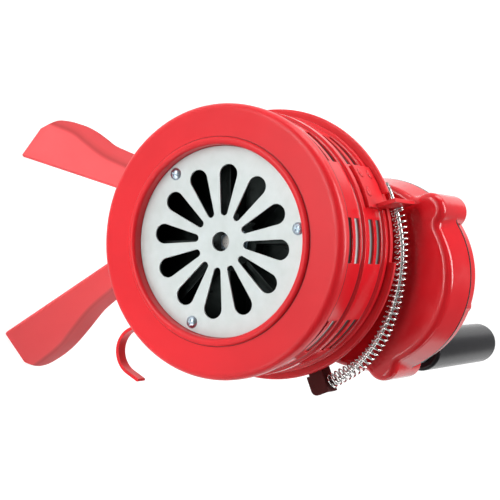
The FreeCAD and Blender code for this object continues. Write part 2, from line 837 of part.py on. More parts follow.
def return_spring():
    # the space that the coil fills round the rod, between the anchor and the bracket
    start = angle_on_rod(anchor_angle, anchor_above) - 4
    end = angle_on_rod(bracket_start) + 4
    coil = rod_solid(spring_radius, start, end)
    coil = coil.cut(rod_solid(spring_radius - spring_wire, start - 1, end + 1))
    beyond_anchor = radial_block(anchor_angle, 60, 130, -40, anchor_above, 50, 100)
    beyond_bracket = radial_block(bracket_start, 60, 130, 0, 40, 50, 100)
    return coil.cut([beyond_anchor, beyond_bracket])


# Legs

def leg_frame(foot_x, foot_y, shoulder_x, shoulder_y, shoulder_height, side):
    # origin at the foot's inner corner on the floor; s runs along the straight edge,
    # w across the blade towards its outer edge, n out of its back face to the front
    foot = Vector(foot_x, foot_y, -axis_height)
    up = Vector(shoulder_x - foot_x, shoulder_y - foot_y, shoulder_height).normalize()
    toe = math.radians(foot_toe_out)
    edge = Vector(side * math.cos(toe), math.sin(toe), 0)
    front = up.cross(edge).normalize()
    if front.y > 0:
        front = front * -1
    across = front.cross(up).normalize()
    if across.dot(edge) < 0:
        across = across * -1
    return foot, up, across, front


def left_frame():
    return leg_frame(left_foot_x, left_foot_y, left_shoulder_x, left_shoulder_y,
                     left_shoulder_height, -1)


def right_frame():
    return leg_frame(right_foot_x, right_foot_y, right_shoulder_x, right_shoulder_y,
                     right_shoulder_height, 1)


def in_frame(frame, s, w, n=0.0):
    foot, up, across, front = frame
    return foot + up * s + across * w + front * n


def leg_section(frame, s, fold, width, fold_side):
    # across the sheet: flat, a first bend, a second bend, and the outer strip
    half = math.tan(math.radians(leg_fold / 2)) * fold_side
    full = math.tan(math.radians(leg_fold)) * fold_side
    first = fold - fold_spread / 2
    second = fold + fold_spread / 2
    rise = fold_spread * half
    line = [(0, 0), (first, 0), (second, rise), (width, rise + (width - second) * full)]
    front = [in_frame(frame, s, w, n + leg_offset + leg_thickness) for w, n in line]
    back = [in_frame(frame, s, w, n + leg_offset) for w, n in reversed(line)]
    return Part.makePolygon(front + back + [front[0]])


def leg_sheet(frame, fold_side):
    # wider than the outline that cuts it
    folds = ((-14, 38), (4, 37), (22, 35), (36, 30), (50, 25), (62, 22), (blade_length, 19))
    return Part.makeLoft([leg_section(frame, s, fold, 58, fold_side) for s, fold in folds],
                         True, True)


def leg_outline(frame, spread):
    bulge = ((blade_length, blade_root), (74, 33), (63, 34.7), (54, 38), (43, 42), (30, 45.5),
             (18, 46.8), (10, 46.3), (4, 45), (0, 42.2), (-3.2, 37.5), (-6.4, 28))
    curve = Part.BSplineCurve()
    curve.interpolate([in_frame(frame, s, w * spread, -30) for s, w in bulge])
    root = in_frame(frame, blade_length, 0, -30)
    toe = in_frame(frame, -12, 0, -30)
    edges = [Part.LineSegment(toe, root).toShape(),
             Part.LineSegment(root, curve.StartPoint).toShape(), curve.toShape(),
             Part.LineSegment(curve.EndPoint, toe).toShape()]
    return Part.Face(Part.Wire(edges)).extrude(frame[3] * 60)


def leg_twist(frame, fold_side, tab_angle, side, spread):
    # turns the blade into the plane of the bulkhead
    out, along = radial_frame(tab_angle)
    near = -side * tab_width / 2
    width = blade_root * spread
    across = (0, (19 - fold_spread / 2) / width, (19 + fold_spread / 2) / width, 1)
    line = [out * tab_outer + along * (near * (1 - 2 * share)) for share in across]
    front = [Vector(p.x, bulkhead_rear, p.z) for p in line]
    back = [Vector(p.x, bulkhead_rear + leg_thickness, p.z) for p in reversed(line)]
    top = Part.makePolygon(front + back + [front[0]])
    bottom = leg_section(frame, blade_length, 19, width, fold_side)
    return Part.makeLoft([bottom, top], True, True)


def tab_screw_places(tab_angle):
    return [polar(tab_screw_circle_radius, tab_angle + side * tab_screw_spread) for side in (-1, 1)]


def leg_tab(tab_angle):
    tab = radial_block(tab_angle, tab_inner, tab_outer, -tab_width / 2, tab_width / 2,
                       bulkhead_rear, bulkhead_rear + leg_thickness)
    corners = []
    for edge in tab.Edges:
        middle = edge.CenterOfMass
        upright = edge.BoundBox.YLength > leg_thickness * 0.9
        if upright and math.hypot(middle.x, middle.z) < (tab_inner + tab_outer) / 2:
            corners.append(edge)
    return tab.makeFillet(tab_corner, corners)


def leg(frame, fold_side, tab_angle, side, spread):
    blade = leg_sheet(frame, fold_side).common(leg_outline(frame, spread))
    twist = leg_twist(frame, fold_side, tab_angle, side, spread)
    whole = blade.multiFuse([twist, leg_tab(tab_angle)])
    below = Part.makeBox(600, 600, 60, Vector(-300, -300, -axis_height - 60))
    holes = [disc(leg_screw_radius + 0.2, bulkhead_rear - 1, bulkhead_rear + 8, x, z)
             for x, z in tab_screw_places(tab_angle)]
    return whole.cut([below] + holes).removeSplitter()


def leg_screws():
    places = tab_screw_places(left_tab_angle) + tab_screw_places(right_tab_angle)
    screws = [machine_screw(leg_screw_radius, drum_rear - stator_flange, leg_head_radius,
                            leg_head_height, bulkhead_rear + leg_thickness, 1, *place)
              for place in places]
    return Part.makeCompound(screws)


# Shutter

def shutter_sleeve():
    top = sleeve_outer
    half = bead_width / 2
    step = bead_height
    outline = [(sleeve_inner, sleeve_front), (top - 1, sleeve_front), (top, sleeve_front + 1)]
    outline += [(top, row_middle - half - step), (top + step, row_middle - half),
                (top + step, row_middle + half), (top, row_middle + half + step)]
    ridge = slot_middles[3] + slot_width / 2 + 2.2
    outline += [(top, ridge), (top + step, ridge + step), (top + step, sleeve_rear - 0.8),
                (top + step - 0.8, sleeve_rear), (sleeve_inner, sleeve_rear)]
    sleeve = revolved(outline)
    play = math.degrees((stop_pin_radius + 0.3) / sleeve_inner)
    notch = wedge(sleeve_inner - 1, top + step + 1, stop_angle - play,
                  stop_angle + shutter_travel + play, sleeve_rear - 2.4, sleeve_rear + 1)
    seat = wedge(top, top + step + 1, bracket_start - 0.5, bracket_start + bracket_arc + 0.5,
                 bracket_front - 0.3, sleeve_rear + 1)
    holes = [hole_out(radius_place, rivet_radius + seat_gap) for radius_place in rivet_places()]
    return sleeve.cut(port_openings(sleeve_inner - 1, top + 3) + [notch, seat] + holes)


def rivet_places():
    # (angle, y) of the rivets of the spring bracket and of the trigger lever
    low = bracket_front + 6
    high = sleeve_rear - 6
    return [(bracket_start + bracket_arc * 0.35, low), (bracket_start + bracket_arc * 0.8, low),
            (bracket_start + bracket_arc * 0.8, high)] + lever_rivet_places()


def lever_rivet_places():
    middle = lever_front + lever_width / 2
    return [(lever_root_angle - lever_base_arc * share, middle) for share in (0.45, 0.82)]


def hole_out(place, radius):
    angle, y = place
    out, along = radial_frame(angle)
    return Part.makeCylinder(radius, 12, out * (sleeve_inner - 4) + Vector(0, y, 0), out)


def rivet(place, top):
    angle, y = place
    out, along = radial_frame(angle)
    body = fastener(rivet_radius, top - sleeve_inner - 0.4, rivet_head_radius, rivet_head_height)
    turn = FreeCAD.Rotation(Vector(0, 1, 0), out)
    body.Placement = FreeCAD.Placement(out * top + Vector(0, y, 0), turn)
    return body


def spring_bracket():
    strip = wedge(sleeve_outer, sleeve_outer + bracket_thickness, bracket_start,
                  bracket_start + bracket_arc, bracket_front, sleeve_rear)
    over = notch_floor + bulkhead_clearance
    t1, t2 = 0, bracket_thickness
    root = radial_block(bracket_start, sleeve_outer + 0.6, bracket_height, t1, t2,
                        bracket_front_flange, sleeve_rear)
    bridge = radial_block(bracket_start, over, bracket_height, t1, t2,
                          bracket_front_flange, bracket_rear)
    behind = bulkhead_rear + bulkhead_clearance + 0.5
    heel = radial_block(bracket_start, bracket_foot, bracket_height, t1, t2,
                        behind, bracket_rear)
    body = strip.multiFuse([root, bridge, heel])
    near = rod_distance(bracket_start) - rod_radius - slot_play
    far = rod_distance(bracket_start - shutter_travel) + rod_radius + slot_play
    half = rod_radius + slot_play
    slot = radial_block(bracket_start, near + half, far - half, -1, bracket_thickness + 1,
                        rod_plane - half, rod_plane + half)
    out, along = radial_frame(bracket_start)
    ends = [Part.makeCylinder(half, bracket_thickness + 2,
                              out * r - along + Vector(0, rod_plane, 0), along)
            for r in (near + half, far - half)]
    rivets = [hole_out(place, rivet_radius + seat_gap) for place in rivet_places()[:3]]
    return body.cut([slot] + ends + rivets).removeSplitter()


def bracket_rivets():
    top = sleeve_outer + bracket_thickness
    return Part.makeCompound([rivet(place, top) for place in rivet_places()[:3]])


def thick_path(points, arc_flags, y1, y2):
    # a strip with square edges along lines and arcs in the XZ plane
    edges = []
    for k, kind in enumerate(arc_flags):
        if kind == "line":
            edges.append(Part.LineSegment(points[k][0], points[k][1]).toShape())
        else:
            edges.append(Part.Arc(*points[k]).toShape())
    loop = Part.Wire(edges)
    return Part.Face(loop).extrude(Vector(0, y2 - y1, 0))


def trigger_lever():
    y1 = lever_front
    y2 = lever_front + lever_width
    base = wedge(sleeve_outer, sleeve_outer + lever_thickness, lever_root_angle - lever_base_arc,
                 lever_root_angle, y1, y2)
    cx, cz = lever_bend_x, lever_bend_z
    r1 = lever_bend_radius - lever_thickness / 2
    r2 = lever_bend_radius + lever_thickness / 2
    start, end = lever_bend_start, lever_bend_end
    middle = (start + end) / 2
    up = Vector(math.sin(math.radians(start)), 0, -math.cos(math.radians(start)))
    # the straight shank reaches from the bend up to the foot on the sleeve
    top_in = point(r1, start, y1, cx, cz)
    top_out = point(r2, start, y1, cx, cz)
    reach = 0.0
    while (top_out + up * reach).dot(Vector(1, 0, 0)) ** 2 + \
            (top_out + up * reach).z ** 2 > (sleeve_outer + lever_thickness / 2) ** 2:
        reach += 0.5
    on = Vector(-math.sin(math.radians(end)), 0, math.cos(math.radians(end)))
    tip_in = point(r1, end, y1, cx, cz)
    tip_out = point(r2, end, y1, cx, cz)
    hook = thick_path(
        [(top_in + up * reach, top_in), (top_in, point(r1, middle, y1, cx, cz), tip_in),
         (tip_in, tip_in + on * lever_tip),
         (tip_in + on * lever_tip, (tip_in + tip_out) * 0.5 + on * (lever_tip + lever_thickness / 2),
          tip_out + on * lever_tip),
         (tip_out + on * lever_tip, tip_out), (tip_out, point(r2, middle, y1, cx, cz), top_out),
         (top_out, top_out + up * reach), (top_out + up * reach, top_in + up * reach)],
        ["line", "arc", "line", "arc", "line", "arc", "line", "line"], y1, y2)
    lever = base.fuse(hook).cut(disc(sleeve_outer, y1 - 1, y2 + 1))
    holes = [hole_out(place, rivet_radius + seat_gap) for place in lever_rivet_places()]
    return lever.cut(holes).removeSplitter()


def lever_rivets():
    top = sleeve_outer + lever_thickness
    return Part.makeCompound([rivet(place, top) for place in lever_rivet_places()])


# Rotor

def rotor_wheel():
    inner = rim_radius - rim_wall
    web = disc(inner, row_middle - web_thickness / 2, row_middle + web_thickness / 2)
    hub = disc(hub_radius, hub_front, rim_rear)
    vanes = []
    for k in range(port_count):
        front = prism([(0, -vane_thickness / 2), (inner - 0.2, -vane_thickness / 2),
                       (inner - 0.2, vane_thickness / 2), (0, vane_thickness / 2)],
                      rim_front + 1, row_middle)
        rear = prism([(0, -vane_thickness / 2), (inner - 0.2, -vane_thickness / 2),
                      (inner - 0.2, vane_thickness / 2), (0, vane_thickness / 2)],
                     row_middle, rim_rear)
        cut_front = disc(hub_radius + 4, 0, hub_front)
        vanes.append(turned(k * 360.0 / port_count, front.cut(cut_front)))
        vanes.append(turned(k * 360.0 / port_count, rear))
    body = web.multiFuse([hub] + vanes)
    bore = disc(rotor_shaft_radius + seat_gap, 0, 80)
    return body.cut(bore).removeSplitter()


def rotor_rim():
    rim = tube(rim_radius, rim_radius - rim_wall, rim_front, rim_rear)
    cuts = []
    rows = ((rim_front + rim_land, row_middle - web_thickness),
            (row_middle + web_thickness, rim_rear - rim_land))
    for y1, y2 in rows:
        for k in range(port_count):
            middle = (k + 0.5) * 360.0 / port_count
            cuts.append(wedge(rim_radius - rim_wall - 1, rim_radius + 1, middle - 90.0 / port_count,
                              middle + 90.0 / port_count, y1, y2))
    return rim.cut(cuts)


def rotor_shaft():
    front = hub_front - rotor_washer_thickness - rotor_nut_height - shaft_overhang
    step = low_gear_front - pinion_extra - 1
    end = low_gear_front + low_gear_width + pinion_extra + 2
    thick = disc(rotor_shaft_radius, front, step)
    thin = disc(pinion_bore, step, end)
    return thick.fuse(thin).removeSplitter()


def rotor_washer():
    return tube(rotor_washer_radius, rotor_shaft_radius + seat_gap,
                hub_front - rotor_washer_thickness, hub_front)


def rotor_nut():
    rear = hub_front - rotor_washer_thickness
    nut = hex_prism(rotor_nut_flats, rear - rotor_nut_height, rear)
    return nut.cut(disc(rotor_shaft_radius + seat_gap, 0, 40))


def involute_angle(radius, base):
    if radius <= base:
        return 0.0
    roll = math.acos(base / radius)
    return math.tan(roll) - roll


def toothed(teeth, y1, y2, x, z, tooth_at):
    # a spur gear with a tooth centred on the direction tooth_at
    pitch = gear_module * teeth / 2
    base = pitch * math.cos(math.radians(pressure_angle))
    tip = gear_tip(teeth)
    root = pitch - gear_module * tooth_root
    half = math.pi / (2 * teeth) * (1 - backlash) + involute_angle(pitch, base)
    radii = [root, max(root + 0.1, base), (max(root, base) + tip) / 2, tip]
    corners = []
    for k in range(teeth):
        middle = math.radians(tooth_at) + 2 * math.pi * k / teeth
        rising = [(r, middle - half + involute_angle(r, base)) for r in radii]
        falling = [(r, middle + half - involute_angle(r, base)) for r in reversed(radii)]
        corners += [(x + r * math.cos(a), z + r * math.sin(a)) for r, a in rising + falling]
    return prism(corners, y1, y2)


def rotor_pinion():
    gap_at = direction_between(0, 0, layshaft_x, layshaft_z)
    gear = toothed(pinion_teeth, low_gear_front - pinion_extra,
                   low_gear_front + low_gear_width + pinion_extra, 0, 0,
                   gap_at + 180.0 / pinion_teeth)
    return gear.cut(disc(pinion_bore + seat_gap, low_gear_front - 5,
                         low_gear_front + low_gear_width + 5))


# Layshaft

def layshaft():
    axle = disc(layshaft_radius, case_front + 2.4, case_rear - 2.4, layshaft_x, layshaft_z)
    gap_at = direction_between(layshaft_x, layshaft_z, crank_x, crank_z)
    pinion = toothed(pinion_teeth, high_gear_front - pinion_extra,
                     high_gear_front + high_gear_width + pinion_extra, layshaft_x, layshaft_z,
                     gap_at + 180.0 / pinion_teeth)
    return axle.fuse(pinion).removeSplitter()


def lightening_holes(x, z, circle, radius, y1, y2, phase=0.0):
    return [disc(radius, y1, y2, *polar(circle, phase + 60 * k, x, z)) for k in range(6)]


def layshaft_gear():
    y1 = low_gear_front
    y2 = low_gear_front + low_gear_width
    tooth_at = direction_between(layshaft_x, layshaft_z, 0, 0)
    gear = toothed(layshaft_teeth, y1, y2, layshaft_x, layshaft_z, tooth_at)
    cuts = lightening_holes(layshaft_x, layshaft_z, layshaft_gear_hole_reach,
                            layshaft_gear_hole_radius, y1 - 1, y2 + 1)
    cuts.append(disc(layshaft_radius + seat_gap, y1 - 1, y2 + 1, layshaft_x, layshaft_z))
    return gear.cut(cuts)


# Crank

def crank_gear():
    y1 = high_gear_front
    y2 = high_gear_front + high_gear_width
    tooth_at = direction_between(crank_x, crank_z, layshaft_x, layshaft_z)
    gear = toothed(crank_teeth, y1, y2, crank_x, crank_z, tooth_at)
    boss = disc(gear_boss_radius, y1 - 2, y2 + 2, crank_x, crank_z)
    cuts = lightening_holes(crank_x, crank_z, crank_gear_hole_reach,
                            crank_gear_hole_radius, y1 - 3, y2 + 3)
    cuts.append(disc(crank_shaft_radius + seat_gap, y1 - 3, y2 + 3, crank_x, crank_z))
    return gear.fuse(boss).removeSplitter().cut(cuts)


def crank_shaft():
    rear = arm_front + arm_thickness + crank_nut_height + 2
    return disc(crank_shaft_radius, case_front + 2.4, rear, crank_x, crank_z)


def grip_place():
    return polar(crank_radius, crank_angle, crank_x, crank_z)


def crank_arm():
    gx, gz = grip_place()
    rear = arm_rear
    half = arm_width / 2
    bar = prism([(0, -half * 0.9), (crank_radius, -half * 0.8), (crank_radius, half * 0.8),
                 (0, half * 0.9)], arm_front, rear)
    bar = turned(crank_angle, bar)
    bar.translate(Vector(crank_x, 0, crank_z))
    body = bar.multiFuse([disc(half, arm_front, rear, crank_x, crank_z),
                          disc(half * 0.9, arm_front, rear, gx, gz)]).removeSplitter()
    return body.cut([disc(crank_shaft_radius + seat_gap, arm_front - 1, rear + 1, crank_x, crank_z),
                     disc(grip_pin_radius + seat_gap, arm_front - 1, rear + 1, gx, gz)])


def crank_collar():
    # spacer between the cover's boss and the arm
    return tube(crank_shaft_radius + 3.5, crank_shaft_radius + seat_gap, crank_boss_rear + 0.4,
                arm_front, crank_x, crank_z)


def crank_nut():
    front = arm_front + arm_thickness
    nut = hex_prism(crank_nut_flats, front, front + crank_nut_height, crank_x, crank_z, 10)
    bevel = Part.makeCone(crank_nut_flats * 0.62, crank_nut_flats * 0.45, crank_nut_height,
                          Vector(crank_x, front, crank_z), Vector(0, 1, 0))
    nut = nut.common(bevel.fuse(disc(crank_nut_flats * 0.54, front, front + crank_nut_height,
                                     crank_x, crank_z)))
    return nut.cut(disc(crank_shaft_radius + seat_gap, arm_front, front + crank_nut_height + 1,
                        crank_x, crank_z))


def grip_pin():
    x, z = grip_place()
    head_front = grip_rear - grip_cap_length - grip_wall_end
    pin = disc(grip_pin_radius, arm_front, head_front + grip_wall_end, x, z)
    collar = disc(grip_pin_radius + 3, arm_front + arm_thickness, grip_front - 0.4, x, z)
    head = disc(grip_pin_radius + 2, head_front + 0.4, head_front + grip_wall_end, x, z)
    return pin.multiFuse([collar, head]).removeSplitter()


def grip():
    x, z = grip_place()
    rear = grip_rear - grip_cap_length
    body = disc(grip_radius, grip_front, rear, x, z)
    body = body.makeFillet(grip_edge, edges_at(body, grip_front))
    bore = disc(grip_pin_radius + grip_gap, grip_front - 1, rear + 1, x, z)
    wall_end = grip_front + grip_wall_end
    head_front = rear - grip_wall_end
    hollow = disc(grip_hollow, wall_end, head_front - grip_wall_end, x, z)
    socket = disc(grip_pin_radius + 2.4, head_front, rear + 1, x, z)
    return body.cut([bore, hollow, socket])


def grip_cap():
    x, z = grip_place()
    front = grip_rear - grip_cap_length
    cap = disc(grip_radius, front, grip_rear, x, z)
    cap = cap.makeFillet(grip_cap_length * 0.82, edges_at(cap, grip_rear))
    return cap


def spring_anchor_report():
    print("rod at rest", round(rod_distance(bracket_start), 2),
          "rod at full travel", round(rod_distance(bracket_start - shutter_travel), 2))


PIECES = [
    ("front_ring", front_ring), ("grille_plate", grille_plate), ("grille_screws", grille_screws),
    ("stator_drum", stator_drum), ("bulkhead", bulkhead), ("bulkhead_screws", bulkhead_screws),
    ("neck_screws", neck_screws), ("gearbox_housing", gearbox_housing),
    ("cover_gasket", cover_gasket), ("gearbox_cover", gearbox_cover),
    ("cover_screws", cover_screws), ("rotor_bearings", rotor_bearings),
    ("layshaft_bushes", layshaft_bushes), ("crank_bushes", crank_bushes),
    ("stop_pin", stop_pin), ("spring_anchor", spring_anchor), ("anchor_screws", anchor_screws),
    ("guide_rod", guide_rod), ("return_spring", return_spring),
    ("left_leg", lambda: leg(left_frame(), 1, left_tab_angle, -1, left_spread)),
    ("right_leg", lambda: leg(right_frame(), -1, right_tab_angle, 1, right_spread)),
    ("leg_screws", leg_screws),
    ("shutter_sleeve", shutter_sleeve), ("spring_bracket", spring_bracket),
    ("bracket_rivets", bracket_rivets), ("trigger_lever", trigger_lever),
    ("lever_rivets", lever_rivets),
    ("rotor_wheel", rotor_wheel), ("rotor_rim", rotor_rim), ("rotor_shaft", rotor_shaft),
    ("rotor_washer", rotor_washer), ("rotor_nut", rotor_nut), ("rotor_pinion", rotor_pinion),
    ("layshaft", layshaft), ("layshaft_gear", layshaft_gear),
    ("crank_gear", crank_gear), ("crank_shaft", crank_shaft), ("crank_collar", crank_collar),
    ("crank_arm", crank_arm), ("crank_nut", crank_nut), ("grip_pin", grip_pin),
    ("grip", grip), ("grip_cap", grip_cap),
]


def main():
    os.makedirs("parts", exist_ok=True)
    shapes = {name: make() for name, make in PIECES}
    box = Part.makeCompound(list(shapes.values())).optimalBoundingBox(False)
    shift = Vector(-(box.XMin + box.XMax) / 2, -(box.YMin + box.YMax) / 2, axis_height)
    for name, shape in shapes.items():
        shape.translate(shift)
        shape.exportStep("parts/" + name + ".step")
        solids = shape.Solids
        print(name, len(solids), "solids", "valid" if shape.isValid() else "INVALID",
              round(sum(s.Volume for s in solids), 1))
    spring_anchor_report()
    print("shift", [round(v, 4) for v in shift])
    print("crank axis", round(crank_x, 4), round(crank_z, 4))
    print("layshaft axis", round(layshaft_x, 4), round(layshaft_z, 4))
    print("grip axis", [round(v, 4) for v in grip_place()])
    print("box", [round(v, 3) for v in (box.XLength, box.YLength, box.ZLength)])


main()
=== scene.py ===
import math
import bpy
import bmesh
from mathutils import Euler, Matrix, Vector


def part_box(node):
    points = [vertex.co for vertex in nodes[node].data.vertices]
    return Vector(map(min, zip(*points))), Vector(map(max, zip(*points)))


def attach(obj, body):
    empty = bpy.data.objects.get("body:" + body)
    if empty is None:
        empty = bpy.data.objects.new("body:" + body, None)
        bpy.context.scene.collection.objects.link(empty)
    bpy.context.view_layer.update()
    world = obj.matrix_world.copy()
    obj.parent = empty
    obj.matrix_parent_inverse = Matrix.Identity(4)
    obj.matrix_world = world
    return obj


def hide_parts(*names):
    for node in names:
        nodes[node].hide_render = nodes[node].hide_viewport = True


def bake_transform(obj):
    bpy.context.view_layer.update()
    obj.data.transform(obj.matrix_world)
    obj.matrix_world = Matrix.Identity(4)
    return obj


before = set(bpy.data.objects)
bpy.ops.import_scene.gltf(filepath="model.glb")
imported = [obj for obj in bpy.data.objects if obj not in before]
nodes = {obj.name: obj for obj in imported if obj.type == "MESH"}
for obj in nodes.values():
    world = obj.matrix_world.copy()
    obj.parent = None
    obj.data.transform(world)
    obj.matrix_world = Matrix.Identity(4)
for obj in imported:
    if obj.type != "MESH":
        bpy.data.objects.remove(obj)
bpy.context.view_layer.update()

print("siren: frame loaded,", len(nodes), "nodes")

# the drum's axis and the face of the grille plate, which everything is placed from
statorLow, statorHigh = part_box("stator_drum")
drumX = (statorLow.x + statorHigh.x) / 2
drumZ = (statorLow.z + statorHigh.z) / 2
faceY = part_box("grille_plate")[0].y


def place(x, y, z):
    # millimetres: right of the axis, back from the grille plate, above the axis
    return Vector((drumX + x / 1000, faceY + y / 1000, drumZ + z / 1000))


def heading(angle):
    turn = math.radians(angle)
    return math.cos(turn), math.sin(turn)


cameraView = {
    "lens": 93.6,
    "sensor": 36.0,
    "at": (21.887, -680.645, 403.396),        # millimetres about the drum
    "turn": (0.93743, -60.64688, 90.31967),   # degrees
    "clipEnd": 50,
}

studio = {
    "floorSize": 12.0,
    "floorColour": (0.93, 0.93, 0.93),
    "floorGlow": 0.88,          # white that the floor itself shows
    "floorSeen": 0.28,          # how much of the light on it, and so of a shadow, shows on top
    "worldColour": (1.0, 1.0, 1.0),
    "worldStrength": 0.15,
    "wallTop": (0.19, 0.26),    # height, as a share, where the white wall ends and the ceiling begins
    "worldCeiling": 0.22,       # what shows high above, where a studio is dark
    "centre": (0, 40, 0),       # millimetres, what the lamps stand about and point at
    # name: place about the drum in metres, size, power, colour,
    # then what it points at in millimetres and how many degrees it covers, if not the usual
    "lamps": {
        "frontLow": ((-0.42, -0.95, -0.09), (1.1, 0.16), 5.7, (1.0, 0.99, 0.98)),
        "frontHigh": ((-0.55, -1.5, 0.35), (1.0, 0.7), 1.8, (1.0, 0.99, 0.98)),
        "frontRight": ((0.50, -0.75, -0.11), (0.5, 0.12), 0.9, (1.0, 0.99, 0.98)),
        "leftSoftbox": ((-1.25, 0.40, 0.60), (1.1, 0.6), 10.5, (1.0, 1.0, 1.0)),
        "topStrip": ((-0.30, 0.60, 1.20), (1.2, 0.45), 18.5, (1.0, 1.0, 1.0)),
        "rightStrip": ((1.25, 0.5, 0.40), (0.35, 1.2), 3.0, (0.98, 0.99, 1.0)),
        "footFill": ((0.40, -0.40, -0.04), (0.16, 0.16), 0.035, (1.0, 1.0, 1.0), (62, 40, -105), 26),
    },
}


def makeCamera():
    camera = bpy.data.objects.new("siren_camera", bpy.data.cameras.new("siren_camera"))
    camera.data.lens = cameraView["lens"]
    camera.data.sensor_width = cameraView["sensor"]
    camera.location = place(*cameraView["at"])
    camera.rotation_euler = Euler([math.radians(a) for a in cameraView["turn"]])
    camera.data.clip_end = cameraView["clipEnd"]
    bpy.context.scene.collection.objects.link(camera)
    bpy.context.scene.camera = camera


def addLamp(name, at, size, power, colour, aim=studio["centre"], cone=180):
    lamp = bpy.data.lights.new(name, "AREA")
    lamp.shape = "RECTANGLE"
    lamp.size, lamp.size_y = size
    lamp.energy = power
    lamp.color = colour
    lamp.spread = math.radians(cone)
    holder = bpy.data.objects.new(name, lamp)
    holder.location = place(*studio["centre"]) + Vector(at)
    holder.rotation_euler = (place(*aim) - holder.location).to_track_quat("-Z", "Y").to_euler()
    bpy.context.scene.collection.objects.link(holder)


def seenRays(tree):
    # 1 for what the camera sees directly, in a mirror or through glass
    path = tree.nodes.new("ShaderNodeLightPath")
    seen = path.outputs["Is Camera Ray"]
    for kind in ("Is Glossy Ray", "Is Transmission Ray"):
        larger = tree.nodes.new("ShaderNodeMath")
        larger.operation = "MAXIMUM"
        tree.links.new(seen, larger.inputs[0])
        tree.links.new(path.outputs[kind], larger.inputs[1])
        seen = larger.outputs[0]
    return seen


def spread(tree, source, low, high, toLow, toHigh):
    ramp = tree.nodes.new("ShaderNodeMapRange")
    for key, value in (("From Min", low), ("From Max", high), ("To Min", toLow), ("To Max", toHigh)):
        ramp.inputs[key].default_value = value
    tree.links.new(source, ramp.inputs["Value"])
    return ramp.outputs["Result"]


def times(tree, a, b):
    node = tree.nodes.new("ShaderNodeMath")
    node.operation = "MULTIPLY"
    tree.links.new(a, node.inputs[0])
    if isinstance(b, float):
        node.inputs[1].default_value = b
    else:
        tree.links.new(b, node.inputs[1])
    return node.outputs[0]


def paleFloor():
    material = bpy.data.materials.new("pale_floor")
    material.use_nodes = True
    tree = material.node_tree
    tree.nodes.clear()
    output = tree.nodes.new("ShaderNodeOutputMaterial")
    seen = seenRays(tree)
    colour = tree.nodes.new("ShaderNodeMix")
    colour.data_type = "RGBA"
    colour.inputs[6].default_value = (*studio["floorColour"], 1)
    colour.inputs[7].default_value = (*[studio["floorSeen"]] * 3, 1)
    tree.links.new(seen, colour.inputs["Factor"])
    matt = tree.nodes.new("ShaderNodeBsdfDiffuse")
    tree.links.new(colour.outputs[2], matt.inputs["Color"])
    glow = tree.nodes.new("ShaderNodeEmission")
    tree.links.new(times(tree, seen, studio["floorGlow"]), glow.inputs["Strength"])
    both = tree.nodes.new("ShaderNodeAddShader")
    tree.links.new(matt.outputs[0], both.inputs[0])
    tree.links.new(glow.outputs[0], both.inputs[1])
    tree.links.new(both.outputs[0], output.inputs["Surface"])
    return material


def makeStudio():
    half = studio["floorSize"] / 2
    mesh = bpy.data.meshes.new("floor")
    mesh.from_pydata([(-half, -half, 0), (half, -half, 0), (half, half, 0), (-half, half, 0)],
                     [], [(0, 1, 2, 3)])
    floor = bpy.data.objects.new("floor", mesh)
    mesh.materials.append(paleFloor())
    bpy.context.scene.collection.objects.link(floor)

    world = bpy.data.worlds.new("studio_air")
    bpy.context.scene.world = world
    world.use_nodes = True
    tree = world.node_tree
    air = tree.nodes["Background"]
    air.inputs["Color"].default_value = (*studio["worldColour"], 1)
    height = tree.nodes.new("ShaderNodeSeparateXYZ")
    tree.links.new(tree.nodes.new("ShaderNodeTexCoord").outputs["Generated"], height.inputs[0])
    sky = spread(tree, height.outputs["Z"], *studio["wallTop"], 1.0, studio["worldCeiling"])
    lift = tree.nodes.new("ShaderNodeMix")
    lift.inputs[2].default_value = studio["worldStrength"]
    tree.links.new(seenRays(tree), lift.inputs[0])
    tree.links.new(sky, lift.inputs[3])
    tree.links.new(lift.outputs[0], air.inputs["Strength"])

    for name, values in studio["lamps"].items():
        addLamp(name, *values)
    bpy.context.scene.view_settings.view_transform = "Standard"


makeCamera()
makeStudio()
print("siren: camera and studio")


def newFinish(name):
    material = bpy.data.materials.new(name)
    material.use_nodes = True
    tree = material.node_tree
    shader = tree.nodes["Principled BSDF"]
    return material, tree, shader


def surfacePoint(tree):
    return tree.nodes.new("ShaderNodeTexCoord").outputs["Object"]


def noiseOn(tree, scale, detail=4.0, roughness=0.55):
    noise = tree.nodes.new("ShaderNodeTexNoise")
    noise.inputs["Scale"].default_value = scale
    noise.inputs["Detail"].default_value = detail
    noise.inputs["Roughness"].default_value = roughness
    tree.links.new(surfacePoint(tree), noise.inputs["Vector"])
    return noise.outputs["Fac"]


def tint(tree, factor, first, second):
    # first and second are colours or sockets
    mix = tree.nodes.new("ShaderNodeMix")
    mix.data_type = "RGBA"
    tree.links.new(factor, mix.inputs["Factor"])
    for key, value in ((6, first), (7, second)):
        if isinstance(value, tuple):
            mix.inputs[key].default_value = (*value, 1)
        else:
            tree.links.new(value, mix.inputs[key])
    return mix.outputs[2]


softShading = {
    "samples": 6,
    "cosines": (0.995, 0.86),    # between the face and its rounded normal: flat, and at a corner
}


def softEdges(tree, radius):
    # rounds an edge in the shading, radius in millimetres
    bevel = tree.nodes.new("ShaderNodeBevel")
    bevel.samples = softShading["samples"]
    bevel.inputs["Radius"].default_value = radius / 1000
    return bevel.outputs["Normal"]


def edgeMask(tree, rounded):
    # 1 where a corner is near, 0 on flat ground
    geometry = tree.nodes.new("ShaderNodeNewGeometry")
    dot = tree.nodes.new("ShaderNodeVectorMath")
    dot.operation = "DOT_PRODUCT"
    tree.links.new(rounded, dot.inputs[0])
    tree.links.new(geometry.outputs["Normal"], dot.inputs[1])
    return spread(tree, dot.outputs["Value"], *softShading["cosines"], 0.0, 1.0)


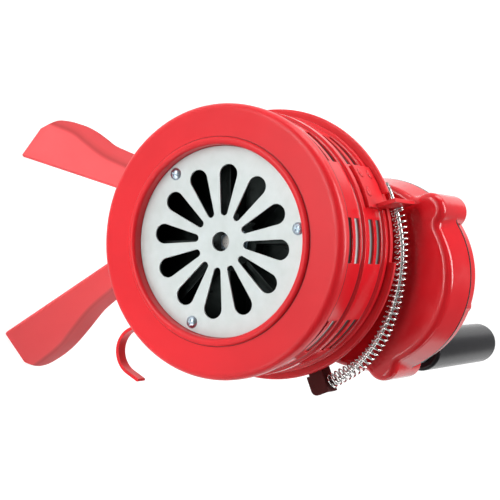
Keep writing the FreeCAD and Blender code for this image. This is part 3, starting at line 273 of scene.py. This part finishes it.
def relief(tree, shader, height, distance, under):
    # distance in millimetres
    bump = tree.nodes.new("ShaderNodeBump")
    bump.inputs["Strength"].default_value = 1.0
    bump.inputs["Distance"].default_value = distance / 1000
    tree.links.new(height, bump.inputs["Height"])
    tree.links.new(under, bump.inputs["Normal"])
    tree.links.new(bump.outputs["Normal"], shader.inputs["Normal"])


def axisDistance(tree, x=0.0, z=0.0):
    # millimetres from the drum's axis, or from one beside it
    apart = tree.nodes.new("ShaderNodeVectorMath")
    apart.operation = "SUBTRACT"
    apart.inputs[1].default_value = (drumX + x / 1000, 0, drumZ + z / 1000)
    tree.links.new(surfacePoint(tree), apart.inputs[0])
    flat = tree.nodes.new("ShaderNodeVectorMath")
    flat.operation = "MULTIPLY"
    flat.inputs[1].default_value = (1000, 0, 1000)
    tree.links.new(apart.outputs[0], flat.inputs[0])
    size = tree.nodes.new("ShaderNodeVectorMath")
    size.operation = "LENGTH"
    tree.links.new(flat.outputs[0], size.inputs[0])
    return size.outputs["Value"]


def pointPart(tree, which):
    # X, Y or Z of the point on the surface, in metres
    split = tree.nodes.new("ShaderNodeSeparateXYZ")
    tree.links.new(surfacePoint(tree), split.inputs[0])
    return split.outputs[which]


def depthBack(tree):
    # millimetres behind the grille plate, up to 200
    return spread(tree, pointPart(tree, "Y"), faceY, faceY + 0.2, 0.0, 200.0)


def band(tree, value, low, high, soft):
    # 1 between low and high, 0 outside
    return times(tree, spread(tree, value, low - soft, low + soft, 0.0, 1.0),
                 spread(tree, value, high - soft, high + soft, 1.0, 0.0))


redEnamel = {
    "colour": (0.74, 0.012, 0.020),
    "deep": (0.62, 0.007, 0.013),
    "bright": (0.86, 0.075, 0.080),     # thin paint along edges
    "roughness": (0.30, 0.42),
    "shine": 0.36,
    "edge": 0.7,                        # millimetres
    "peel": 0.035,                      # depth of the orange peel, millimetres
    "peelScale": 420.0,
    "cloudScale": 22.0,                 # patches of deeper paint
    "clouds": (0.0, 0.55),
    "wearScale": 160.0,                 # breaks up the thin paint along edges
    "wear": (0.1, 0.75),
    "gleamScale": 60.0,                 # patches of duller and shinier paint
}


def paintRed(name, values):
    material, tree, shader = newFinish(name)
    rounded = softEdges(tree, values["edge"])
    clouds = spread(tree, noiseOn(tree, values["cloudScale"], 3.0), 0.35, 0.7, *values["clouds"])
    ground = tint(tree, clouds, values["colour"], values["deep"])
    worn = times(tree, edgeMask(tree, rounded),
                 spread(tree, noiseOn(tree, values["wearScale"], 5.0), 0.38, 0.62, *values["wear"]))
    tree.links.new(tint(tree, worn, ground, values["bright"]), shader.inputs["Base Color"])
    gleam = noiseOn(tree, values["gleamScale"], 5.0)
    tree.links.new(spread(tree, gleam, 0.3, 0.7, *values["roughness"]), shader.inputs["Roughness"])
    shader.inputs["Specular IOR Level"].default_value = values["shine"]
    relief(tree, shader, noiseOn(tree, values["peelScale"], 2.0, 0.4), values["peel"], rounded)
    return material


def baseColour(material):
    # its tree, its shader and what colours it so far
    tree = material.node_tree
    shader = tree.nodes["Principled BSDF"]
    return tree, shader, shader.inputs["Base Color"].links[0].from_socket


def sheetEnamel():
    return paintRed("sheet_enamel", redEnamel)


# painted shade in the gaps between parts and beside the beads, where shade falls, millimetres
creaseShade = {
    "colour": (0.15, 0.004, 0.007),
    "sleeve": ((5.2, 6.2), (26.9, 27.7), (36.2, 37.1), (56.6, 57.4)),
    "ringFace": ((63.5, 63.9),),
    "ringRear": ((3.9, 4.8),),
    "soft": 0.25,
}


def withShadeLines(tree, painted, value, lines):
    # each band between low and high gets painted shade
    for low, high in lines:
        line = band(tree, value, low, high, creaseShade["soft"])
        painted = tint(tree, line, painted, creaseShade["colour"])
    return painted


def ringEnamel():
    material = paintRed("ring_enamel", redEnamel)
    tree, shader, painted = baseColour(material)
    # painted shade at the foot of the bead round the opening and in the gap at the ring's rear
    painted = withShadeLines(tree, painted, axisDistance(tree), creaseShade["ringFace"])
    painted = withShadeLines(tree, painted, depthBack(tree), creaseShade["ringRear"])
    tree.links.new(painted, shader.inputs["Base Color"])
    return material


slotFacesAndShade = {
    "colour": (0.93, 0.93, 0.93),
    # painted shade on the parts of the slot faces that are not bright
    "slotShade": (0.045, 0.030, 0.028),
    # strength of the painted glow of the bare slot faces
    "glint": 0.32,
    "radii": (78.0, 80.9),       # bare cut faces of the slots lie between these
    "depths": (7.0, 56.0),
    "soft": (0.12, 0.1),         # of the radii and the depths
    "edgeShade": (80.0, 80.3),        # painted shade outside this
    "edgeShadeShare": 0.1,
    "starts": (0.0, 0.16, 0.31, 0.47),    # of 100 mm, where each slot's share begins
    "leftGroups": (-41.0, -39.0),         # where the groups' shares change over
    "rightGroups": (39.0, 41.0),
    # share of bright metal in the four slots, the rest painted shade, for the groups at the left,
    # between and at the right
    "shares": ((0.45, 0.10, 0.50, 0.08), (0.16, 1.0, 0.62, 0.42), (0.16, 0.75, 0.22, 0.16)),
}

sleeveRed = dict(redEnamel, roughness=(0.13, 0.22), shine=0.40)


def slotShares(tree, back, shares):
    ramp = tree.nodes.new("ShaderNodeValToRGB")
    ramp.color_ramp.interpolation = "CONSTANT"
    for k, (at, share) in enumerate(zip(slotFacesAndShade["starts"], shares)):
        stop = ramp.color_ramp.elements[k] if k < 2 else ramp.color_ramp.elements.new(at)
        stop.position = at
        stop.color = (share, share, share, 1)
    tree.links.new(spread(tree, back, 0.0, 100.0, 0.0, 1.0), ramp.inputs["Fac"])
    return ramp.outputs["Color"]


def sleeveEnamel():
    material = paintRed("sleeve_enamel", sleeveRed)
    tree, shader, painted = baseColour(material)
    back = depthBack(tree)
    # painted shade along the gap at the ring and beside the beads
    painted = withShadeLines(tree, painted, back, creaseShade["sleeve"])
    out = axisDistance(tree)
    softOut, softBack = slotFacesAndShade["soft"]
    bare = times(tree, band(tree, out, *slotFacesAndShade["radii"], softOut),
                 band(tree, back, *slotFacesAndShade["depths"], softBack))
    left, middle, right = [slotShares(tree, back, shares) for shares in slotFacesAndShade["shares"]]
    # millimetres to the right of the axis, up to 100 on each side
    across = spread(tree, pointPart(tree, "X"), drumX - 0.1, drumX + 0.1, -100.0, 100.0)
    bright = tint(tree, spread(tree, across, *slotFacesAndShade["leftGroups"], 0.0, 1.0), left, middle)
    bright = tint(tree, spread(tree, across, *slotFacesAndShade["rightGroups"], 0.0, 1.0), bright, right)
    # painted shade on the outer edge of each slot face
    bright = times(tree, bright, spread(tree, out, *slotFacesAndShade["edgeShade"], 1.0, slotFacesAndShade["edgeShadeShare"]))
    metal = tint(tree, bright, slotFacesAndShade["slotShade"], slotFacesAndShade["colour"])
    tree.links.new(tint(tree, bare, painted, metal), shader.inputs["Base Color"])
    # painted highlight: the bare faces in the slots give out a little light of their own
    tree.links.new(metal, shader.inputs["Emission Color"])
    tree.links.new(times(tree, bare, slotFacesAndShade["glint"]), shader.inputs["Emission Strength"])
    return material


# painted shade: the anchor's red is made dark, as if the drum shaded it
anchorShadeEnamel = dict(redEnamel, colour=(0.075, 0.008, 0.008), deep=(0.045, 0.005, 0.005),
                    bright=(0.20, 0.03, 0.03), shine=0.10)


def anchorShadePaint():
    return paintRed("anchor_shaded_enamel", anchorShadeEnamel)


castingEnamel = dict(redEnamel, deep=(0.56, 0.008, 0.014), roughness=(0.11, 0.20), shine=0.42,
                     edge=0.9, peel=0.05, peelScale=240.0)

jointShade = {
    "colour": (0.016, 0.003, 0.003),
    "depths": (111.5, 113.4),    # painted shade of the step down to the cover, round the rear edge of the housing
    "ears": ((-21.2, 99.95), (76.91, 68.11)),    # it stops at these
    "earRadii": (11.2, 11.6),
    "soft": 0.12,
}


def gearboxEnamel():
    material = paintRed("gearbox_enamel", castingEnamel)
    tree, shader, painted = baseColour(material)
    # painted shade along the rear edge, broken at the ears
    line = band(tree, depthBack(tree), *jointShade["depths"], jointShade["soft"])
    for x, z in jointShade["ears"]:
        clear = spread(tree, axisDistance(tree, x, z), *jointShade["earRadii"], 0.0, 1.0)
        line = times(tree, line, clear)
    tree.links.new(tint(tree, line, painted, jointShade["colour"]), shader.inputs["Base Color"])
    return material


legEnamel = dict(redEnamel, colour=(0.88, 0.070, 0.078), deep=(0.84, 0.052, 0.060),
                 roughness=(0.42, 0.54), shine=0.7, edge=0.5, peel=0.03)

# painted shade along the pressed fold of a leg, by the distance from the fold's line, millimetres
foldShade = {
    "strip": ((0.62, 0.022, 0.028), (0.50, 0.008, 0.011)),    # painted shade for the left leg, and a darker one for the right leg
    "stripFrom": (-3.0, 3.5),
    "stripShare": 0.85,
    # painted shade in the crease of the fold
    "crease": (0.50, 0.008, 0.012),
    "creaseFrom": (-3.2, -0.4),
    "creaseTo": (0.4, 4.2),
}


def legPaint():
    material = paintRed("leg_enamel", legEnamel)
    tree, shader, painted = baseColour(material)
    # painted shade beyond the fold and in its crease, darker on the right leg
    fold = tree.nodes.new("ShaderNodeAttribute")
    fold.attribute_name = "fold"
    side = fold.outputs["Fac"]
    strip = times(tree, spread(tree, side, *foldShade["stripFrom"], 0.0, 1.0),
                  foldShade["stripShare"])
    crease = times(tree, spread(tree, side, *foldShade["creaseFrom"], 0.0, 1.0),
                   spread(tree, side, *foldShade["creaseTo"], 1.0, 0.0))
    onRight = spread(tree, pointPart(tree, "X"), drumX - 0.01, drumX + 0.01, 0.0, 1.0)
    painted = tint(tree, strip, painted, tint(tree, onRight, *foldShade["strip"]))
    tree.links.new(tint(tree, crease, painted, foldShade["crease"]), shader.inputs["Base Color"])
    return material


def metalFinish(name, colour, dark, roughness, grain, edge, depth=0.01, metallic=1.0):
    # grain is the scale of the fine noise; edge and depth are in millimetres
    material, tree, shader = newFinish(name)
    rounded = softEdges(tree, edge)
    clouds = spread(tree, noiseOn(tree, grain / 6, 5.0), 0.3, 0.72, 0.0, 1.0)
    tree.links.new(tint(tree, clouds, colour, dark), shader.inputs["Base Color"])
    shader.inputs["Metallic"].default_value = metallic
    fine = noiseOn(tree, grain, 4.0, 0.6)
    tree.links.new(spread(tree, fine, 0.3, 0.7, *roughness), shader.inputs["Roughness"])
    relief(tree, shader, fine, depth, rounded)
    return material


def grillePaint():
    return metalFinish("grille_lacquer", (0.60, 0.66, 0.66), (0.54, 0.60, 0.59), (0.36, 0.5),
                       grain=700.0, edge=0.35, depth=0.012, metallic=0.25)


def screwZinc():
    return metalFinish("screw_zinc", (0.50, 0.60, 0.68), (0.34, 0.43, 0.50), (0.22, 0.4),
                       grain=900.0, edge=0.2)


def springChrome():
    return metalFinish("spring_chrome", (0.80, 0.79, 0.78), (0.62, 0.61, 0.60), (0.12, 0.24),
                       grain=900.0, edge=0.1)


def turnedSteel():
    return metalFinish("turned_steel", (0.56, 0.55, 0.53), (0.42, 0.41, 0.39), (0.25, 0.42),
                       grain=700.0, edge=0.2)


# painted shade inside the drum, where metal and paint are made dark: millimetres from its axis, or
# behind the plate
insideShade = {
    "rotor": (73.6, 73.9),
    "rotorColour": (0.010, 0.013, 0.012),
    "stator": (75.7, 76.2),
    "statorColour": (0.012, 0.010, 0.010),
    "bulkhead": (75.0, 76.0),
    "bulkheadDepth": (65.0, 66.0),
    "bulkheadColour": (0.012, 0.008, 0.008),
}


def rotorAlloy():
    # turned bright outside, with painted shade making it dark inside the drum
    material = metalFinish("rotor_alloy", (0.80, 0.80, 0.79), (0.62, 0.62, 0.61), (0.3, 0.5),
                           grain=400.0, edge=0.3)
    tree, shader, turnedFace = baseColour(material)
    outside = spread(tree, axisDistance(tree), *insideShade["rotor"], 0.0, 1.0)
    mixed = tint(tree, outside, insideShade["rotorColour"], turnedFace)
    tree.links.new(mixed, shader.inputs["Base Color"])
    return material


def rotorCasting():
    return metalFinish("rotor_casting", (0.035, 0.045, 0.043), (0.008, 0.011, 0.011), (0.26, 0.45),
                       grain=300.0, edge=0.5, depth=0.06, metallic=0.75)


def statorMetal():
    # bare at the slots and outside, with painted shade making it dark inside the drum
    material = metalFinish("stator_metal", (0.72, 0.72, 0.71), (0.52, 0.52, 0.52), (0.3, 0.48),
                           grain=500.0, edge=0.3)
    tree, shader, bare = baseColour(material)
    outside = spread(tree, axisDistance(tree), *insideShade["stator"], 0.0, 1.0)
    mixed = tint(tree, outside, insideShade["statorColour"], bare)
    tree.links.new(mixed, shader.inputs["Base Color"])
    return material


def bulkheadEnamel():
    # red outside, with painted shade making it dark inside the drum
    material = paintRed("bulkhead_enamel", redEnamel)
    tree, shader, painted = baseColour(material)
    inside = times(tree, spread(tree, axisDistance(tree), *insideShade["bulkhead"], 1.0, 0.0),
                   spread(tree, depthBack(tree), *insideShade["bulkheadDepth"], 1.0, 0.0))
    mixed = tint(tree, inside, painted, insideShade["bulkheadColour"])
    tree.links.new(mixed, shader.inputs["Base Color"])
    return material


def bushBronze():
    return metalFinish("bush_bronze", (0.60, 0.37, 0.17), (0.45, 0.26, 0.11), (0.28, 0.45),
                       grain=600.0, edge=0.2)


def gasketPaper():
    return metalFinish("gasket_paper", (0.022, 0.018, 0.017), (0.012, 0.010, 0.010), (0.75, 0.95),
                       grain=900.0, edge=0.1, depth=0.04, metallic=0.0)


def gripPlastic():
    material = metalFinish("grip_plastic", (0.016, 0.016, 0.018), (0.010, 0.010, 0.012), (0.16, 0.26),
                           grain=800.0, edge=0.4, depth=0.012, metallic=0.0)
    material.node_tree.nodes["Principled BSDF"].inputs["Specular IOR Level"].default_value = 0.15
    return material


finishes = {
    "red_paint": sheetEnamel(), "ring_paint": ringEnamel(), "red_casting": gearboxEnamel(),
    "leg_paint": legPaint(), "sleeve_paint": sleeveEnamel(), "anchor_shade_paint": anchorShadePaint(),
    "bulkhead_paint": bulkheadEnamel(), "stator_metal": statorMetal(),
    "rotor_casting": rotorCasting(), "grille": grillePaint(), "zinc_screws": screwZinc(),
    "plated_steel": springChrome(), "machined_steel": turnedSteel(),
    "rotor_aluminium": rotorAlloy(), "bronze": bushBronze(), "gasket": gasketPaper(),
    "grip_plastic": gripPlastic(),
}

nodeFinish = {
    "ring_paint": ["front_ring"],
    "red_paint": ["spring_bracket", "bracket_rivets", "trigger_lever", "lever_rivets"],
    "sleeve_paint": ["shutter_sleeve"],
    "bulkhead_paint": ["bulkhead"],
    "anchor_shade_paint": ["spring_anchor"],
    "stator_metal": ["stator_drum"],
    "leg_paint": ["left_leg", "right_leg"],
    "red_casting": ["gearbox_housing", "gearbox_cover"],
    "grille": ["grille_plate"],
    "zinc_screws": ["grille_screws", "bulkhead_screws", "neck_screws", "cover_screws",
                    "anchor_screws", "leg_screws", "rotor_nut", "rotor_washer", "crank_nut",
                    "crank_collar", "crank_arm"],
    "plated_steel": ["guide_rod", "return_spring"],
    "machined_steel": ["rotor_bearings", "stop_pin", "rotor_shaft", "rotor_pinion", "layshaft",
                       "layshaft_gear", "crank_gear", "crank_shaft", "grip_pin"],
    "rotor_aluminium": ["rotor_rim"],
    "rotor_casting": ["rotor_wheel"],
    "bronze": ["layshaft_bushes", "crank_bushes"],
    "gasket": ["cover_gasket"],
    "grip_plastic": ["grip", "grip_cap"],
}
for finish, names in nodeFinish.items():
    for name in names:
        mesh = nodes[name].data
        mesh.materials.clear()
        mesh.materials.append(finishes[finish])
print("siren: materials")


def newPiece(name, verts, faces, finish, sharp, body=None):
    mesh = bpy.data.meshes.new(name)
    mesh.from_pydata([tuple(v) for v in verts], [], faces)
    mesh.materials.append(finishes[finish])
    tidy = bmesh.new()
    tidy.from_mesh(mesh)
    bmesh.ops.recalc_face_normals(tidy, faces=tidy.faces)
    tidy.to_mesh(mesh)
    tidy.free()
    mesh.polygons.foreach_set("use_smooth", [True] * len(mesh.polygons))
    mesh.set_sharp_from_angle(angle=math.radians(sharp))
    piece = bpy.data.objects.new(name, mesh)
    bpy.context.scene.collection.objects.link(piece)
    if body:
        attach(piece, body)
    return piece


rod = {
    "circle": 96.4,           # its own radius
    "x": 6.6,                 # its middle, beside the drum's axis
    "z": -9.2,
    "y": 75.0,
    "anchorAngle": 21.0,      # where the coil's ends rest, about the drum's axis
    "bracketAngle": 104.5,
    "anchorLip": 3.6,
}

spring = {
    "radius": 5.0,         # outside
    "wire": 1.2,           # diameter
    "turns": 38,
    "closedTurns": 1.0,    # at each end, lying against each other
    "closedPitch": 1.04,   # of the wire
    # how far the coil lies outside the rod's line, from the anchor to the bracket, millimetres
    "sag": (-1.6, -0.9, 0.6, 1.6, 1.9, 1.9, 1.5, 0.8, 0.2, -0.1, -0.3, -0.2, 0.3, 0.7, 0.8),
    "wireSides": 10,
    "stepsPerTurn": 22,
}


def angleOnRod(angle, shift=0.0):
    # where the ray at this angle about the drum, moved sideways by shift, meets the rod
    out = Vector(heading(angle))
    start = Vector((-out.y, out.x)) * shift - Vector((rod["x"], rod["z"]))
    b = start.dot(out)
    reach = -b + math.sqrt(b * b - start.dot(start) + rod["circle"] ** 2)
    found = start + out * reach
    return math.atan2(found.y, found.x)


def onRod(turn, out=0.0, back=0.0):
    r = rod["circle"] + out
    return place(rod["x"] + r * math.cos(turn), rod["y"] + back, rod["z"] + r * math.sin(turn))


def smoothAt(values, share):
    # a smooth curve through evenly spaced values, share from 0 to 1
    at = min(max(share, 0.0), 1.0) * (len(values) - 1)
    k = min(int(at), len(values) - 2)
    t = at - k
    a, b = values[max(k - 1, 0)], values[k]
    c, d = values[k + 1], values[min(k + 2, len(values) - 1)]
    return b + 0.5 * t * (c - a + t * (2 * a - 5 * b + 4 * c - d + t * (3 * (b - c) + d - a)))


def springPath():
    # points of the wire's middle, with the middle of the coil beside each
    start = angleOnRod(rod["anchorAngle"], rod["anchorLip"] + spring["wire"] / 2)
    end = angleOnRod(rod["bracketAngle"], -spring["wire"] / 2)
    closed = spring["closedTurns"]
    closedStep = spring["wire"] * spring["closedPitch"] / rod["circle"]
    openTurns = spring["turns"] - 2 * closed
    openStep = (end - start - 2 * closed * closedStep) / openTurns
    path = []
    for k in range(spring["turns"] * spring["stepsPerTurn"] + 1):
        turn = k / spring["stepsPerTurn"]
        inOpen = min(max(turn - closed, 0), openTurns)
        along = start + (turn - inOpen) * closedStep + inOpen * openStep
        phase = 2 * math.pi * turn
        r = spring["radius"] - spring["wire"] / 2
        sag = smoothAt(spring["sag"], (along - start) / (end - start))
        wire = onRod(along, sag + r * math.cos(phase), r * math.sin(phase))
        path.append((wire, onRod(along, sag)))
    return path


def makeSpring():
    path = springPath()
    sides = spring["wireSides"]
    half = spring["wire"] / 2000
    verts, faces = [], []
    for k, (point, centre) in enumerate(path):
        ahead = path[min(k + 1, len(path) - 1)][0] - path[max(k - 1, 0)][0]
        ahead.normalize()
        out = point - centre
        out = (out - ahead * out.dot(ahead)).normalized()
        side = ahead.cross(out)
        for s in range(sides):
            turn = 2 * math.pi * s / sides
            verts.append(point + out * half * math.cos(turn) + side * half * math.sin(turn))
    for k in range(len(path) - 1):
        for s in range(sides):
            a, b = k * sides + s, k * sides + (s + 1) % sides
            faces.append((a, b, b + sides, a + sides))
    faces.append(tuple(range(sides)))
    last = (len(path) - 1) * sides
    faces.append(tuple(last + s for s in range(sides)))
    piece = newPiece("spring_coil", verts, faces, "plated_steel", 60)
    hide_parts("return_spring")
    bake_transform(piece)


makeSpring()
print("siren: return spring")


legs = {
    # straight lengths from the foot's inner corner, and widths of the outline there
    "outline": ((88, 31.5), (74, 33), (63, 34.7), (54, 38), (43, 42), (30, 45.5), (18, 46.8),
                (10, 46.3), (4, 45), (0, 42.2), (-3.2, 37.5), (-6.4, 28), (-12, 0)),
    # the same for the line of the fold
    "fold": ((-14, 38), (4, 37), (22, 35), (36, 30), (50, 25), (62, 22), (88, 19)),
    "foldAngle": 30.0,
    "foldSoftness": 2.4,     # a larger value makes a wider bend
    "blade": 88.0,           # from the foot along the straight edge to the twist
    "thickness": 2.0,
    "rearFace": 1.2,         # behind the foot's corner
    "toeOut": 45.0,
    "tabInner": 61.0,
    "tabOuter": 93.0,
    "tabWidth": 26.0,
    "tabCorner": 6.0,
    "tabPlane": 69.0,        # middle of the sheet behind the grille plate
    "rows": (30, 16, 12),    # along the blade, the twist and the tab
    "columns": 26,
    "edgeSteps": 4,
    "rowCrowding": 1.7,      # above 1 the rows lie closer near the foot
    "floorSearch": (-11.9, 40.0),    # the straight lengths between which the blade meets the floor
    "floorHalvings": 40,
    "lookBack": 2.0,         # length that the blade's run at the twist is taken from
    "fadeShare": 0.5,        # how the painted shade of the fold ends in the twist
    "fadeBack": 12,
    # foot x and y, shoulder x, y and height, tab angle, side, way of the fold, share of the width
    "left_leg": (-66.0, 56.3, -41.1, 60.0, 79.8, 240.0, -1, 1, 0.9),
    "right_leg": (62.1, 38.8, 13.5, 60.0, 72.1, 274.0, 1, -1, 1.0),
}


def curve(t, p, pRun, q, qRun):
    # from p to q as t goes from 0 to 1, with the run at each end
    return (p * (2 * t ** 3 - 3 * t * t + 1) + pRun * (t ** 3 - 2 * t * t + t)
            + q * (3 * t * t - 2 * t ** 3) + qRun * (t ** 3 - t * t))


def along(points, s):
    # smooth value at s between points whose first number falls or rises steadily
    if points[0][0] > points[-1][0]:
        points = points[::-1]
    k = 0
    while k < len(points) - 2 and points[k + 1][0] < s:
        k += 1
    (s1, w1), (s2, w2) = points[k], points[k + 1]
    before = points[k - 1] if k else points[k]
    after = points[k + 2] if k + 2 < len(points) else points[k + 1]
    step = s2 - s1
    m1 = (w2 - before[1]) / (s2 - before[0]) * step
    m2 = (after[1] - w1) / (after[0] - s1) * step
    t = min(max((s - s1) / step, 0.0), 1.0)
    return curve(t, w1, m1, w2, m2)


def legSheet(name):
    # rows of points in the middle of the sheet, from the foot to the inner end of the tab,
    # and how far each lies beyond the fold's line
    footX, footY, shoulderX, shoulderY, shoulderHeight, tabAngle, side, turnOver, share = legs[name]
    floorZ = -drumZ * 1000
    foot = Vector((footX, footY, floorZ))
    up = Vector((shoulderX - footX, shoulderY - footY, shoulderHeight)).normalized()
    toeX, toeY = heading(legs["toeOut"])
    edge = Vector((side * toeX, toeY, 0))
    front = up.cross(edge).normalized()
    front = -front if front.y > 0 else front
    across = front.cross(up).normalized()
    across = -across if across.dot(edge) < 0 else across
    slope = math.tan(math.radians(legs["foldAngle"])) * turnOver
    soft = legs["foldSoftness"]
    blade = legs["blade"]
    middle = legs["thickness"] / 2 - legs["rearFace"]

    def onBlade(s, c):
        w = c * share * along(legs["outline"], s)
        bend = soft * math.log(1 + math.exp((w - along(legs["fold"], s)) / soft)) * slope
        return foot + up * s + across * w + front * (bend + middle)

    def floorAt(c):
        low, high = legs["floorSearch"]
        for _ in range(legs["floorHalvings"]):
            s = (low + high) / 2
            if onBlade(s, c).z < floorZ:
                low = s
            else:
                high = s
        return high

    tabX, tabZ = heading(tabAngle)
    out = Vector((tabX, 0, tabZ))
    beside = Vector((-out.z, 0, out.x))
    nearSide = -side * legs["tabWidth"] / 2
    bladeRows, twistRows, tabRows = legs["rows"]
    shares = [k / legs["columns"] for k in range(legs["columns"] + 1)]
    starts = [floorAt(c) for c in shares]
    rows, beyond = [], []
    for k in range(bladeRows + 1):
        t = (k / bladeRows) ** legs["rowCrowding"]
        heights = [s0 + (blade - s0) * t for s0 in starts]
        rows.append([onBlade(s, c) for s, c in zip(heights, shares)])
        beyond.append([c * share * along(legs["outline"], s) - along(legs["fold"], s)
                       for s, c in zip(heights, shares)])
    faded = [value * legs["fadeShare"] - legs["fadeBack"] for value in beyond[-1]]

    def onTab(reach, c):
        half = 1.0
        inward = legs["tabInner"] + legs["tabCorner"] - reach
        if inward > 0:
            lost = legs["tabCorner"] - math.sqrt(max(legs["tabCorner"] ** 2 - inward ** 2, 0))
            half = 1 - lost / (legs["tabWidth"] / 2)
        point = out * reach + beside * nearSide * (1 - 2 * c) * half
        return point + Vector((0, legs["tabPlane"], 0))

    for k in range(1, twistRows + 1):
        t = k / twistRows
        row = []
        for c in shares:
            p, q = onBlade(blade, c), onTab(legs["tabOuter"], c)
            before = onBlade(blade - legs["lookBack"], c)
            size = (q - p).length
            m1, m2 = (p - before).normalized() * size, -out * size
            row.append(curve(t, p, m1, q, m2))
        rows.append(row)
    beyond += [beyond[-1]] * (twistRows // 2) + [faded] * (twistRows - twistRows // 2 + tabRows)
    for k in range(1, tabRows + 1):
        t = math.sin(k / tabRows * math.pi / 2)
        rows.append([onTab(legs["tabOuter"] + (legs["tabInner"] - legs["tabOuter"]) * t, c)
                     for c in shares])
    return rows, beyond


def makeLeg(name):
    rows, beyond = legSheet(name)
    last = len(rows[0]) - 1
    half = legs["thickness"] / 2
    steps = legs["edgeSteps"]
    verts, faces, folds = [], [], []
    for k, row in enumerate(rows):
        side = beyond[k]
        folds += side + [side[last]] * (steps - 1) + side[::-1] + [side[0]] * (steps - 1)
        below, above = rows[max(k - 1, 0)], rows[min(k + 1, len(rows) - 1)]
        ring, backward = [], []
        for i, point in enumerate(row):
            run = above[i] - below[i]
            wide = row[min(i + 1, last)] - row[max(i - 1, 0)]
            normal = run.cross(wide).normalized() * half
            ring.append(point + normal)
            backward.append(point - normal)
            if i == last:
                # rounded outer edge
                outward = wide.normalized() * half
                for e in range(1, steps):
                    turn = math.pi * e / steps
                    ring.append(point + normal * math.cos(turn) + outward * (math.sin(turn) - 1))
            if i == 0:
                first, firstOut = normal, -wide.normalized() * half
        ring += backward[::-1]
        for e in range(1, steps):
            turn = math.pi * e / steps
            ring.append(row[0] - first * math.cos(turn) + firstOut * (math.sin(turn) - 1))
        verts += [place(*p) for p in ring]
    size = len(verts) // len(rows)
    for k in range(len(rows) - 1):
        for i in range(size):
            a, b = k * size + i, k * size + (i + 1) % size
            faces.append((a, b, b + size, a + size))
    # the foot's edge and the tab's end
    for start in (0, (len(rows) - 1) * size):
        for i in range(last):
            a, b = start + i, start + i + 1
            backA = start + 2 * last + steps - i
            faces.append((a, b, backA - 1, backA))
        outer = [start + last + e for e in range(steps + 1)]
        faces.append(tuple(outer))
        inner = [start + 2 * last + steps + e for e in range(steps)] + [start]
        faces.append(tuple(inner))
    piece = newPiece(name + "_blade", verts, faces, "leg_paint", 50, "housing")
    mark = piece.data.attributes.new("fold", "FLOAT", "POINT")
    mark.data.foreach_set("value", folds)
    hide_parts(name)


makeLeg("left_leg")
makeLeg("right_leg")
print("siren: legs")

print("siren: done")
